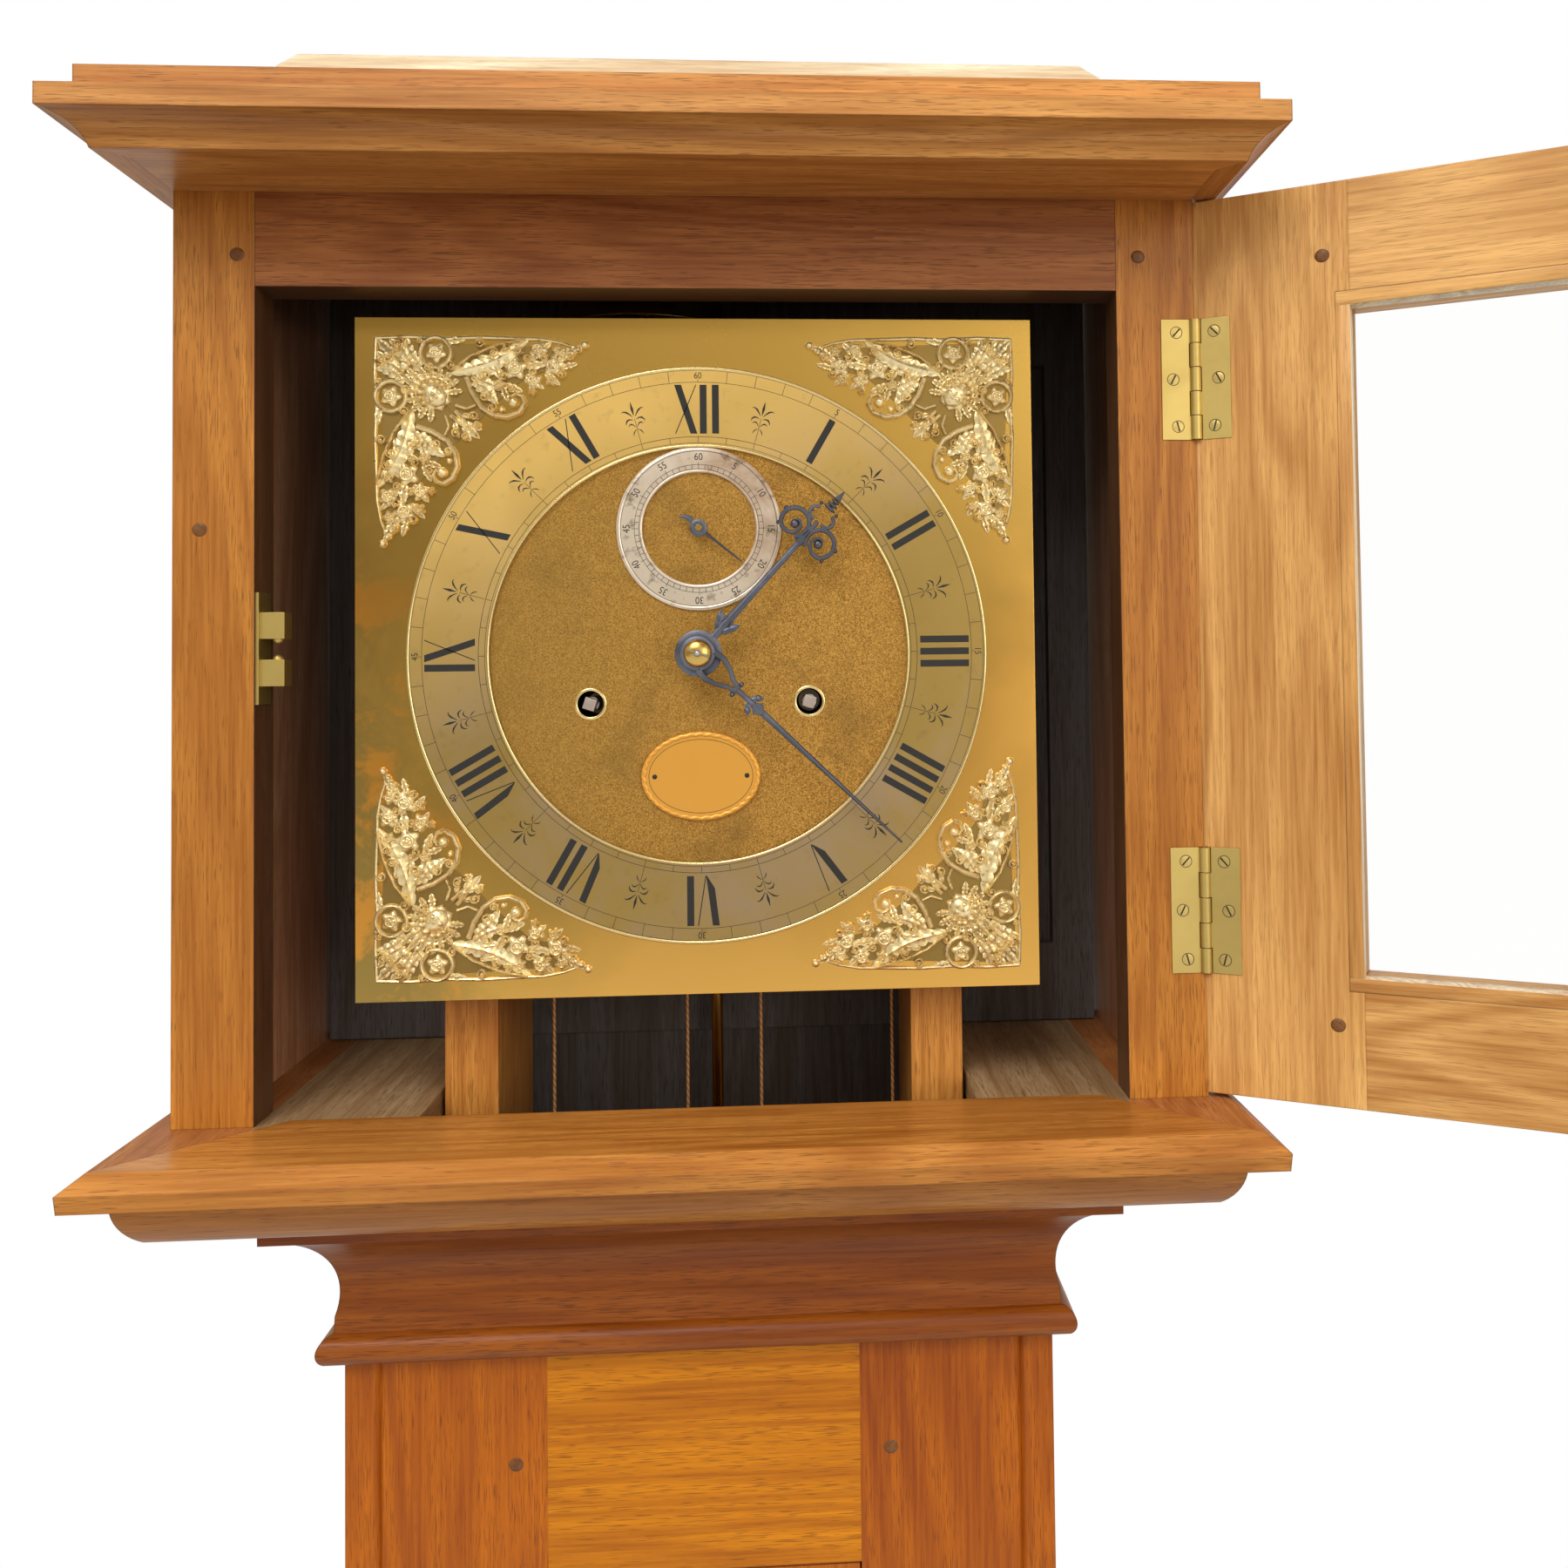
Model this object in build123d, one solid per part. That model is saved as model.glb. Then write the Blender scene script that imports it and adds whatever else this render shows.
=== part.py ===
from build123d import *
import math
import os

os.makedirs("parts", exist_ok=True)

# Millimetres. Origin under the middle of the base, X to the viewer's right, Y to the back, Z up.
# Dial and where its centre stands
DIAL_Z = 1640.0
DIAL_Y = -44.5
DIAL_SIDE = 304.8
DIAL_THICK = 2.0
RING_OUT, RING_IN = 130.0, 93.5
SEC_Z = DIAL_Z + 56.6
SEC_OUT, SEC_IN = 37.0, 25.5
WIND_X, WIND_Z = 49.0, DIAL_Z - 22.0
WIND_HOLE = 6.0
# Clockwise from the top
HOUR_ANGLE, MINUTE_ANGLE, SECONDS_ANGLE = 42.5, 133.5, 128.4

# Hood frame, door and mouldings
HOOD_HALF = 222.1
HOOD_FRONT = DIAL_Y - 21.2
FRAME_THICK = 21.7
FRAME_BACK = HOOD_FRONT + FRAME_THICK
OPEN_HALF = 187.9
OPEN_TOP = DIAL_Z + 160.3
SILL_TOP = DIAL_Z - 198.7
SOFFIT = DIAL_Z + 201.5
HOOD_BOTTOM = DIAL_Z - 231.9
CORNICE_TOP = DIAL_Z + 233.1
TOP_BOARD = 16.0
CASE_BACK = 94.0
SIDE_THICK = 18.0
FRONT_REACH = 38.4
SILL_INNER = -46.6
DOOR_THICK = 20.0
DOOR_GAP = 0.8
DOOR_HALF = 221.9
DOOR_INNER = 156.9
DOOR_TOP_RAIL = 54.1
DOOR_BOTTOM_RAIL = 55.2
DOOR_ANGLE = 151.2
HANG_EDGE = HOOD_HALF + 1.35
AXIS_X = HANG_EDGE
AXIS_Y = HOOD_FRONT - 0.4
HINGE_Z = ((DIAL_Z - 144.1, DIAL_Z - 88.7), (DIAL_Z + 93.1, DIAL_Z + 147.4))
HINGE_LEAF, HINGE_THICK, HINGE_KNUCKLE = 15.4, 1.9, 2.5
REBATE = 6.0
LEDGE_INNER = 121.0
LEDGE_THICK = 12.0

# How far the blanks run that the mouldings are mitred from
BAR_HALF = 300.0
MITRE = 60.0
TALL = 2500.0

# Trunk and base
TRUNK_HALF = 154.1
TRUNK_FRONT = DIAL_Y - 8.8
TRUNK_SIDE = 14.4
TRUNK_JOIN = 68.0
TRUNK_FRAME = 16.0
BACK_THICK = 12.0
BACK_FACE = CASE_BACK - BACK_THICK
TRUNK_DOOR_LOW, TRUNK_DOOR_HIGH = 560.0, 1240.0
BEAD_LOW = DIAL_Z - 302.0
LEAF_THICK, LEAF_KNUCKLE, LEAF_PIN = 1.4, 2.2, 1.0
LEAF_BACK = LEAF_KNUCKLE + 0.1
BASE_HALF = 186.0
BASE_FRONT = TRUNK_FRONT - (BASE_HALF - TRUNK_HALF)
BASE_THICK = 18.0
BASE_TOP = 450.0
SKIRT_HIGH, SKIRT_OUT = 92.0, 10.0

# Movement
SEAT_LOW, SEAT_HIGH = 1535.0, 1555.0
PLATE_HALF, PLATE_TOP = 90.0, 1750.0
PLATE_THICK = 3.5
PLATE_FRONT = -17.0
PLATE_BACK = 43.0
PALLET_Z = DIAL_Z + 89.6
THIRD_X, THIRD_Z = 8.23, DIAL_Z + 29.47
MOTION_Z = DIAL_Z - 27.0
MODULE_GREAT = 1.18
MODULE_TRAIN = 0.9
MODULE_HOUR = 27.0 / 39.0
FIT = 0.05
BARREL_R = 23.0
LINE_R = 0.8
LINE_OFF = 24.5
LINE_Y = 0.0
PULLEY_R = 31.5
PULLEY_Z = 375.0
ROD_Y = 62.0
BOB_Z = 735.0


def box(x0, x1, y0, y1, z0, z1):
    return Pos((x0 + x1) / 2, (y0 + y1) / 2, (z0 + z1) / 2) * Box(abs(x1 - x0), abs(y1 - y0), abs(z1 - z0))


def rod_y(x, z, radius, y0, y1):
    return Pos(x, (y0 + y1) / 2, z) * Rot(90, 0, 0) * Cylinder(radius, abs(y1 - y0))


def rod_z(x, y, radius, z0, z1):
    return Pos(x, y, (z0 + z1) / 2) * Cylinder(radius, z1 - z0)


def rod_x(x0, x1, y, z, radius):
    return Pos((x0 + x1) / 2, y, z) * Rot(0, 90, 0) * Cylinder(radius, abs(x1 - x0))


def turned_y(profile):
    return revolve(make_face(Polyline(*profile, close=True)), Axis.Y)


def turned_z(profile):
    return revolve(Plane.XZ * make_face(Polyline(*profile, close=True)), Axis.Z)


def outline(points, put):
    # A pair of pairs in the list is an arc's middle and its end
    edges = []
    last = points[0]
    for item in points[1:] + [points[0]]:
        if isinstance(item[0], tuple):
            end = item[1]
            edges.append(Edge.make_three_point_arc(put(last), put(item[0]), put(end)))
        else:
            end = item
            edges.append(Edge.make_line(put(last), put(end)))
        last = end
    return Face(Wire(edges))


def prism(points, z0, z1):
    face = outline(points, lambda q: (q[0], q[1], z0))
    return extrude(face, z1 - z0, dir=(0, 0, 1))


def panel_y(points, y0, y1):
    face = outline(points, lambda q: (q[0], y0, q[1]))
    return extrude(face, y1 - y0, dir=(0, 1, 0))


def mirrored(shape):
    return mirror(shape, Plane.YZ)


def solids_of(shapes):
    found = []
    for shape in shapes:
        found.extend(shape.solids())
    return found


def save(name, *shapes):
    found = solids_of(shapes)
    export_step(Compound(children=found), f"parts/{name}.step")
    return found


# Mouldings run once round the front and both sides, and meet in mitres
def front_run(profile, front, reach, half, inner):
    face = outline(profile, lambda q: (-BAR_HALF, front - q[0], q[1]))
    bar = extrude(face, 2 * BAR_HALF, dir=(1, 0, 0))
    outer = half + MITRE
    edge = half + inner
    plan = [(-outer, front - MITRE), (outer, front - MITRE), (edge, front - inner)]
    if inner > -reach:
        plan += [(edge, front + reach), (-edge, front + reach)]
    plan += [(-edge, front - inner)]
    return bar & prism(plan, -TALL, TALL)


def side_run(profile, front, half, inner, back):
    face = outline(profile, lambda q: (half + q[0], front - MITRE, q[1]))
    bar = extrude(face, back - front + MITRE, dir=(0, 1, 0))
    outer = half + MITRE
    edge = half + inner
    plan = [(outer, front - MITRE), (outer, back), (edge, back), (edge, front - inner)]
    bar = bar & prism(plan, -TALL, TALL)
    return bar, mirrored(bar)


def cornice_profile(inner):
    return [
        (inner, SOFFIT),
        (11.0, SOFFIT),
        ((15.5, SOFFIT + 7.6), (23.8, SOFFIT + 11.7)),
        (25.0, SOFFIT + 11.7),
        (25.0, SOFFIT + 20.5),
        (15.2, SOFFIT + 20.5),
        (15.2, CORNICE_TOP),
        (inner, CORNICE_TOP),
    ]


def sill_profile(inner):
    return [
        (inner, HOOD_BOTTOM),
        (-4.5, HOOD_BOTTOM),
        ((2.4, HOOD_BOTTOM + 8.4), (4.8, SILL_TOP - 13.2)),
        (18.0, SILL_TOP - 13.2),
        (18.6, SILL_TOP - 6.1),
        (10.6, SILL_TOP),
        (inner, SILL_TOP),
    ]


def throat_profile():
    top = HOOD_BOTTOM
    return [
        (0.0, BEAD_LOW),
        (7.0, BEAD_LOW),
        ((9.6, BEAD_LOW + 5.6), (3.6, BEAD_LOW + 12.0)),
        (3.3, BEAD_LOW + 19.0),
        ((14.2, top - 16.4), (26.9, top - 11.0)),
        (27.0, top),
        (0.0, top),
    ]


def base_profile():
    return [
        (0.0, BASE_TOP),
        (37.0, BASE_TOP),
        (37.0, BASE_TOP + 9.0),
        (33.0, BASE_TOP + 9.0),
        ((14.0, BASE_TOP + 16.0), (5.0, BASE_TOP + 34.0)),
        (5.0, BASE_TOP + 40.0),
        (0.0, BASE_TOP + 40.0),
    ]


def build_hinge(z0, z1):
    # Five knuckles; the fixed leaf has the first, third and fifth, the moving one the others and the pin
    x, y = AXIS_X, AXIS_Y
    leaf, thick, radius = HINGE_LEAF, HINGE_THICK, HINGE_KNUCKLE
    step = (z1 - z0) / 5
    pin = radius * 0.45
    gap = 0.15
    fixed, moving = None, None
    for k in range(5):
        low, high = z0 + k * step + gap, z0 + (k + 1) * step - gap
        knuckle = rod_z(x, y, radius, low, high)
        if k % 2 == 0:
            web = box(x - leaf, x, y, y + thick, low, high)
            piece = knuckle + web
            fixed = piece if fixed is None else fixed + piece
        else:
            web = box(x - leaf, x, y - thick, y, low, high)
            piece = knuckle + web
            moving = piece if moving is None else moving + piece
    fixed = fixed + box(x - leaf, x - radius - 0.3, y, y + thick, z0, z1)
    moving = moving + box(x - leaf, x - radius - 0.3, y - thick, y, z0, z1)
    fixed = fixed - rod_z(x, y, pin + FIT, z0 - 1, z1 + 1)
    moving = moving + rod_z(x, y, pin, z0 + 0.4, z1 - 0.4)
    return fixed, moving


def swung(shape):
    return Pos(AXIS_X, AXIS_Y, 0) * Rot(0, 0, DOOR_ANGLE) * Pos(-AXIS_X, -AXIS_Y, 0) * shape


def build_hood():
    frame_top = CORNICE_TOP - TOP_BOARD
    left = box(-HOOD_HALF, -OPEN_HALF, HOOD_FRONT, FRAME_BACK, SILL_TOP, frame_top)
    right = box(OPEN_HALF, HANG_EDGE, HOOD_FRONT, FRAME_BACK, SILL_TOP, SOFFIT)
    right = right + box(OPEN_HALF, HOOD_HALF, HOOD_FRONT, FRAME_BACK, SOFFIT, frame_top)
    fixed, moving = [], []
    for low, high in HINGE_Z:
        fixed_leaf, moving_leaf = build_hinge(low, high)
        fixed.append(fixed_leaf)
        moving.append(moving_leaf)
        right = right - box(AXIS_X - HINGE_LEAF, AXIS_X, HOOD_FRONT - 1, AXIS_Y + HINGE_THICK, low, high)
        right = right - rod_z(AXIS_X, AXIS_Y, HINGE_KNUCKLE + 0.2, low, high)
    save("hood_stiles", left, right)
    save("hood_top_rail", box(-OPEN_HALF, OPEN_HALF, HOOD_FRONT, FRAME_BACK, OPEN_TOP, frame_top))
    side = box(HOOD_HALF - SIDE_THICK, HOOD_HALF, FRAME_BACK, CASE_BACK, SILL_TOP, frame_top)
    save("hood_sides", side, mirrored(side))
    sill_front = HOOD_FRONT - FRONT_REACH
    sill = sill_profile(SILL_INNER)
    save("hood_sill_front", front_run(sill, sill_front, 0.0, HOOD_HALF, SILL_INNER))
    sill_edge = HOOD_HALF + SILL_INNER
    ledge_front = sill_front - SILL_INNER
    ledge = box(LEDGE_INNER, sill_edge, ledge_front, CASE_BACK, SILL_TOP - LEDGE_THICK, SILL_TOP)
    sides = side_run(sill, sill_front, HOOD_HALF, SILL_INNER, CASE_BACK)
    save("hood_sill_sides", *sides, ledge, mirrored(ledge))
    cornice = cornice_profile(-FRONT_REACH)
    save("hood_cornice_front", front_run(cornice, sill_front, FRONT_REACH, HOOD_HALF, 0.0))
    save("hood_cornice_sides", *side_run(cornice_profile(0.0), sill_front, HOOD_HALF, 0.0, CASE_BACK))
    save("hood_top_board", box(-HOOD_HALF, HOOD_HALF, HOOD_FRONT, CASE_BACK, frame_top, CORNICE_TOP))
    save("hood_hinge_leaves", *fixed)
    catch_x = -OPEN_HALF
    plate = box(catch_x, catch_x + 1.4, HOOD_FRONT + 1.0, HOOD_FRONT + 15.0, DIAL_Z - 20.0, DIAL_Z + 28.2)
    catch = plate
    catch_z = DIAL_Z + 3.8
    mid_y = HOOD_FRONT + 7.0
    for side_sign in (-1, 1):
        low = catch_z + side_sign * 10.2
        catch = catch + box(catch_x, catch_x + 11.6, mid_y - 4.5, mid_y + 4.5, low - 5.7, low + 5.7)
        ball = catch_z + side_sign * 4.5
        catch = catch + Pos(catch_x + 7.5, mid_y, ball) * Sphere(2.3)
    save("ball_catch", catch)
    return moving, catch_z, mid_y


def build_cap():
    # The raised cap is four walls under a lid with bevelled ends
    half, high, wall, bevel_wide, bevel_high = 186.6, 38.3, 10.0, 9.6, 5.4
    front, back = DIAL_Y, CASE_BACK - 30.0
    low, top = CORNICE_TOP, CORNICE_TOP + high
    under = top - wall
    shape = [
        (-half, under),
        (half, under),
        (half, top - bevel_high),
        (half - bevel_wide, top),
        (bevel_wide - half, top),
        (-half, top - bevel_high),
    ]
    lid = panel_y(shape, front, back)
    end = box(half - wall, half, front, back, low, under)
    inside = half - wall
    front_wall = box(-inside, inside, front, front + wall, low, under)
    back_wall = box(-inside, inside, back - wall, back, low, under)
    save("hood_top_cap", lid, end, mirrored(end), front_wall, back_wall)


def build_door(moving, catch_z, mid_y):
    back = HOOD_FRONT - DOOR_GAP
    front = back - DOOR_THICK
    low, high = SILL_TOP + 2.0, SOFFIT - 1.0
    inner = DOOR_INNER
    rail_low, rail_high = low + DOOR_BOTTOM_RAIL, high - DOOR_TOP_RAIL
    rebate = box(
        -inner - REBATE, inner + REBATE, back - 10.0, back + 1, rail_low - REBATE, rail_high + REBATE
    )
    hinge_stile = box(inner, HANG_EDGE - 0.05, front, back, low, high) - rebate
    for z0, z1 in HINGE_Z:
        leaf_y = AXIS_Y - HINGE_THICK
        hinge_stile = hinge_stile - box(AXIS_X - HINGE_LEAF, AXIS_X, leaf_y, back + 1, z0, z1)
        hinge_stile = hinge_stile - rod_z(AXIS_X, AXIS_Y, HINGE_KNUCKLE + 0.2, z0, z1)
    latch_stile = box(-DOOR_HALF, -inner, front, back, low, high) - rebate
    top = box(-inner, inner, front, back, rail_high, high) - rebate
    bottom = box(-inner, inner, front, back, low, rail_low) - rebate
    slack = 0.5
    glass = box(
        -inner - REBATE + slack,
        inner + REBATE - slack,
        back - 10.0,
        back - 7.0,
        rail_low - REBATE + slack,
        rail_high + REBATE - slack,
    )
    tongue_x = -OPEN_HALF + 7.5
    tongue = box(tongue_x - 5.0, tongue_x + 5.0, back - 1.0, back + 0.3, catch_z - 14.0, catch_z + 14.0)
    tongue = tongue + box(tongue_x - 3.5, tongue_x + 3.5, back, mid_y + 3.0, catch_z - 1.5, catch_z + 1.5)
    latch_stile = latch_stile - box(
        tongue_x - 5.0, tongue_x + 5.0, back - 1.0, back + 1, catch_z - 14.0, catch_z + 14.0
    )
    save("door_stile_hinge", swung(hinge_stile))
    save("door_stile_latch", swung(latch_stile))
    save("door_rails", swung(top), swung(bottom))
    save("door_glass", swung(glass))
    save("door_hinge_leaves", *[swung(m) for m in moving])
    save("catch_tongue", swung(tongue))


def build_trunk():
    side = box(TRUNK_HALF - TRUNK_SIDE, TRUNK_HALF, TRUNK_FRONT, BACK_FACE, BASE_TOP - 60, HOOD_BOTTOM)
    groove = 1.6
    edge = TRUNK_HALF - TRUNK_SIDE
    front = TRUNK_FRONT
    cut = [(edge - groove, front), (edge, front - 0.2), (edge + groove, front), (edge, front + groove)]
    vee = prism(cut, BASE_TOP - 70, HOOD_BOTTOM + 1)
    side = side - vee
    save("trunk_sides", side, mirrored(side))
    frame_back = TRUNK_FRONT + TRUNK_FRAME
    stile = box(TRUNK_JOIN, edge, TRUNK_FRONT, frame_back, BASE_TOP - 60, HOOD_BOTTOM) - vee
    top = box(-TRUNK_JOIN, TRUNK_JOIN, TRUNK_FRONT, frame_back, TRUNK_DOOR_HIGH, HOOD_BOTTOM)
    bottom = box(-TRUNK_JOIN, TRUNK_JOIN, TRUNK_FRONT, frame_back, BASE_TOP - 60, TRUNK_DOOR_LOW)
    save("trunk_front_frame", stile, mirrored(stile), top, bottom)
    save("throat_moulding_front", front_run(throat_profile(), TRUNK_FRONT, 0.0, TRUNK_HALF, 0.0))
    save("throat_moulding_sides", *side_run(throat_profile(), TRUNK_FRONT, TRUNK_HALF, 0.0, CASE_BACK))
    # Four boards close the back: base, trunk, a neck between the hood's ledges, and hood
    upper = HOOD_HALF - SIDE_THICK - 2.1
    clear = SILL_TOP + 0.6
    frame_top = CORNICE_TOP - TOP_BOARD - 0.6
    boards = []
    for half, low, high in (
        (BASE_HALF - BASE_THICK, 0.0, BASE_TOP),
        (TRUNK_HALF, BASE_TOP, HOOD_BOTTOM),
        (LEDGE_INNER - 0.6, HOOD_BOTTOM, clear),
        (upper, clear, frame_top),
    ):
        boards.append(box(-half, half, BACK_FACE, CASE_BACK, low, high))
    save("backboard", *boards)
    face = BACK_FACE - 8.5
    stile = box(180.0, upper, face, BACK_FACE, clear, frame_top)
    rail = box(-180.0, 180.0, face, BACK_FACE, clear, DIAL_Z - 157.0)
    head = box(-180.0, 180.0, face, BACK_FACE, DIAL_Z + 157.0, frame_top)
    save("back_frame", stile, mirrored(stile), rail, head)
    x = TRUNK_JOIN
    fixed_leaves, moving_leaves = [], []
    for z in (650.0, 1150.0):
        leaf = box(2.5, 14.0, LEAF_BACK - LEAF_THICK, LEAF_BACK, z - 25, z + 25)
        swing = mirrored(leaf)
        for k in range(5):
            low, high = z - 25 + k * 10 + 0.15, z - 15 + k * 10 - 0.15
            web = box(0, 3, LEAF_BACK - LEAF_THICK, LEAF_BACK, low, high)
            if k % 2 == 0:
                leaf = leaf + web + rod_z(0, 0, LEAF_KNUCKLE, low, high)
            else:
                swing = swing + mirrored(web) + rod_z(0, 0, LEAF_KNUCKLE, low, high)
        leaf = leaf - rod_z(0, 0, LEAF_PIN + FIT, z - 26, z + 26)
        swing = swing + rod_z(0, 0, LEAF_PIN, z - 24.6, z + 24.6)
        fixed_leaves.append(Pos(x, TRUNK_FRONT - LEAF_BACK, 0) * leaf)
        moving_leaves.append(Pos(x, TRUNK_FRONT - LEAF_BACK, 0) * swing)
    save("trunk_hinge_leaves", *fixed_leaves)
    save("trunk_door_leaves", *moving_leaves)
    gap = 0.8
    door = box(
        -x + gap, x - gap, TRUNK_FRONT, frame_back, TRUNK_DOOR_LOW + gap, TRUNK_DOOR_HIGH - gap
    )
    knob = turned_y([(0, 0), (9, 0), (9, 2), (4, 4), (4, 10), (9, 15), (10, 20), (7, 24), (0, 25)])
    knob = Pos(-x + 20.0, TRUNK_FRONT, 900.0) * Rot(180, 0, 0) * knob
    save("trunk_door", door, knob)


def build_base():
    inner = BASE_HALF - BASE_THICK
    front = box(-BASE_HALF, BASE_HALF, BASE_FRONT, BASE_FRONT + BASE_THICK, 0, BASE_TOP)
    side = box(inner, BASE_HALF, BASE_FRONT + BASE_THICK, CASE_BACK, 0, BASE_TOP)
    save("base_panels", front, side, mirrored(side))
    moulding = front_run(base_profile(), TRUNK_FRONT, 0.0, TRUNK_HALF, 0.0)
    save("base_moulding", moulding, *side_run(base_profile(), TRUNK_FRONT, TRUNK_HALF, 0.0, CASE_BACK))
    shoulder = SKIRT_HIGH - 12.0
    profile = [(0, 0), (SKIRT_OUT, 0), (SKIRT_OUT, shoulder), ((7.0, shoulder + 7.0), (0.0, SKIRT_HIGH))]
    skirt = front_run(profile, BASE_FRONT, 0.0, BASE_HALF, 0.0)
    save("skirting", skirt, *side_run(profile, BASE_FRONT, BASE_HALF, 0.0, CASE_BACK))
    save("base_floor", box(-inner, inner, BASE_FRONT + BASE_THICK, BACK_FACE, 0.0, 14.0))


def build_seat():
    seat = box(-125.0, 125.0, -22.5, 52.0, SEAT_LOW, SEAT_HIGH)
    for barrel_x in (-WIND_X, WIND_X):
        for hole_x in (barrel_x - LINE_OFF, barrel_x - LINE_OFF + 2 * PULLEY_R):
            seat = seat - rod_z(hole_x, LINE_Y, 3.5, SEAT_LOW - 1, SEAT_HIGH + 1)
    save("seatboard", seat)
    cheek = box(95.0, 119.0, -22.5, 60.0, 1250.0, SEAT_LOW)
    cleat = box(119.0, TRUNK_HALF - TRUNK_SIDE, -10.0, 50.0, 1270.0, 1400.0)
    save("cheeks", cheek, mirrored(cheek), cleat, mirrored(cleat))


def gear(x, z, y0, y1, teeth, module, phase):
    # Teeth are straight-sided; phase is the clockwise angle of one tooth from straight up
    pitch = 2 * math.pi / teeth
    pitch_r = module * teeth / 2
    tip, root = pitch_r + 0.75 * module, pitch_r - 1.1 * module
    points = []
    for k in range(teeth):
        for radius, share in ((root, -0.26), (tip, -0.11), (tip, 0.11), (root, 0.26)):
            a = phase + (k + share) * pitch
            points.append((x + radius * math.sin(a), z + radius * math.cos(a)))
    return panel_y(points, y0, y1)


def crossed(blank, x, z, y0, y1, rim, hub, arms, width):
    # The crossings of a clock wheel: a hub, arms and a rim
    cut = rod_y(x, z, rim, y0 - 1, y1 + 1) - rod_y(x, z, hub, y0 - 2, y1 + 2)
    centre = Pos(x, (y0 + y1) / 2, z)
    arm = Pos(0, 0, rim / 2) * Box(width, y1 - y0 + 4, rim + 2)
    for k in range(arms):
        cut = cut - centre * Rot(0, 360 / arms * k, 0) * arm
    return blank - cut


def meshed(ax, az, a_teeth, a_phase, bx, bz, b_teeth):
    # Phase of wheel b whose gap meets the nearest tooth of wheel a on the line of centres
    theta = math.atan2(bx - ax, bz - az)
    step = 2 * math.pi / a_teeth
    off = (a_phase - theta + step / 2) % step - step / 2
    return theta + math.pi - off * a_teeth / b_teeth + math.pi / b_teeth


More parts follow.
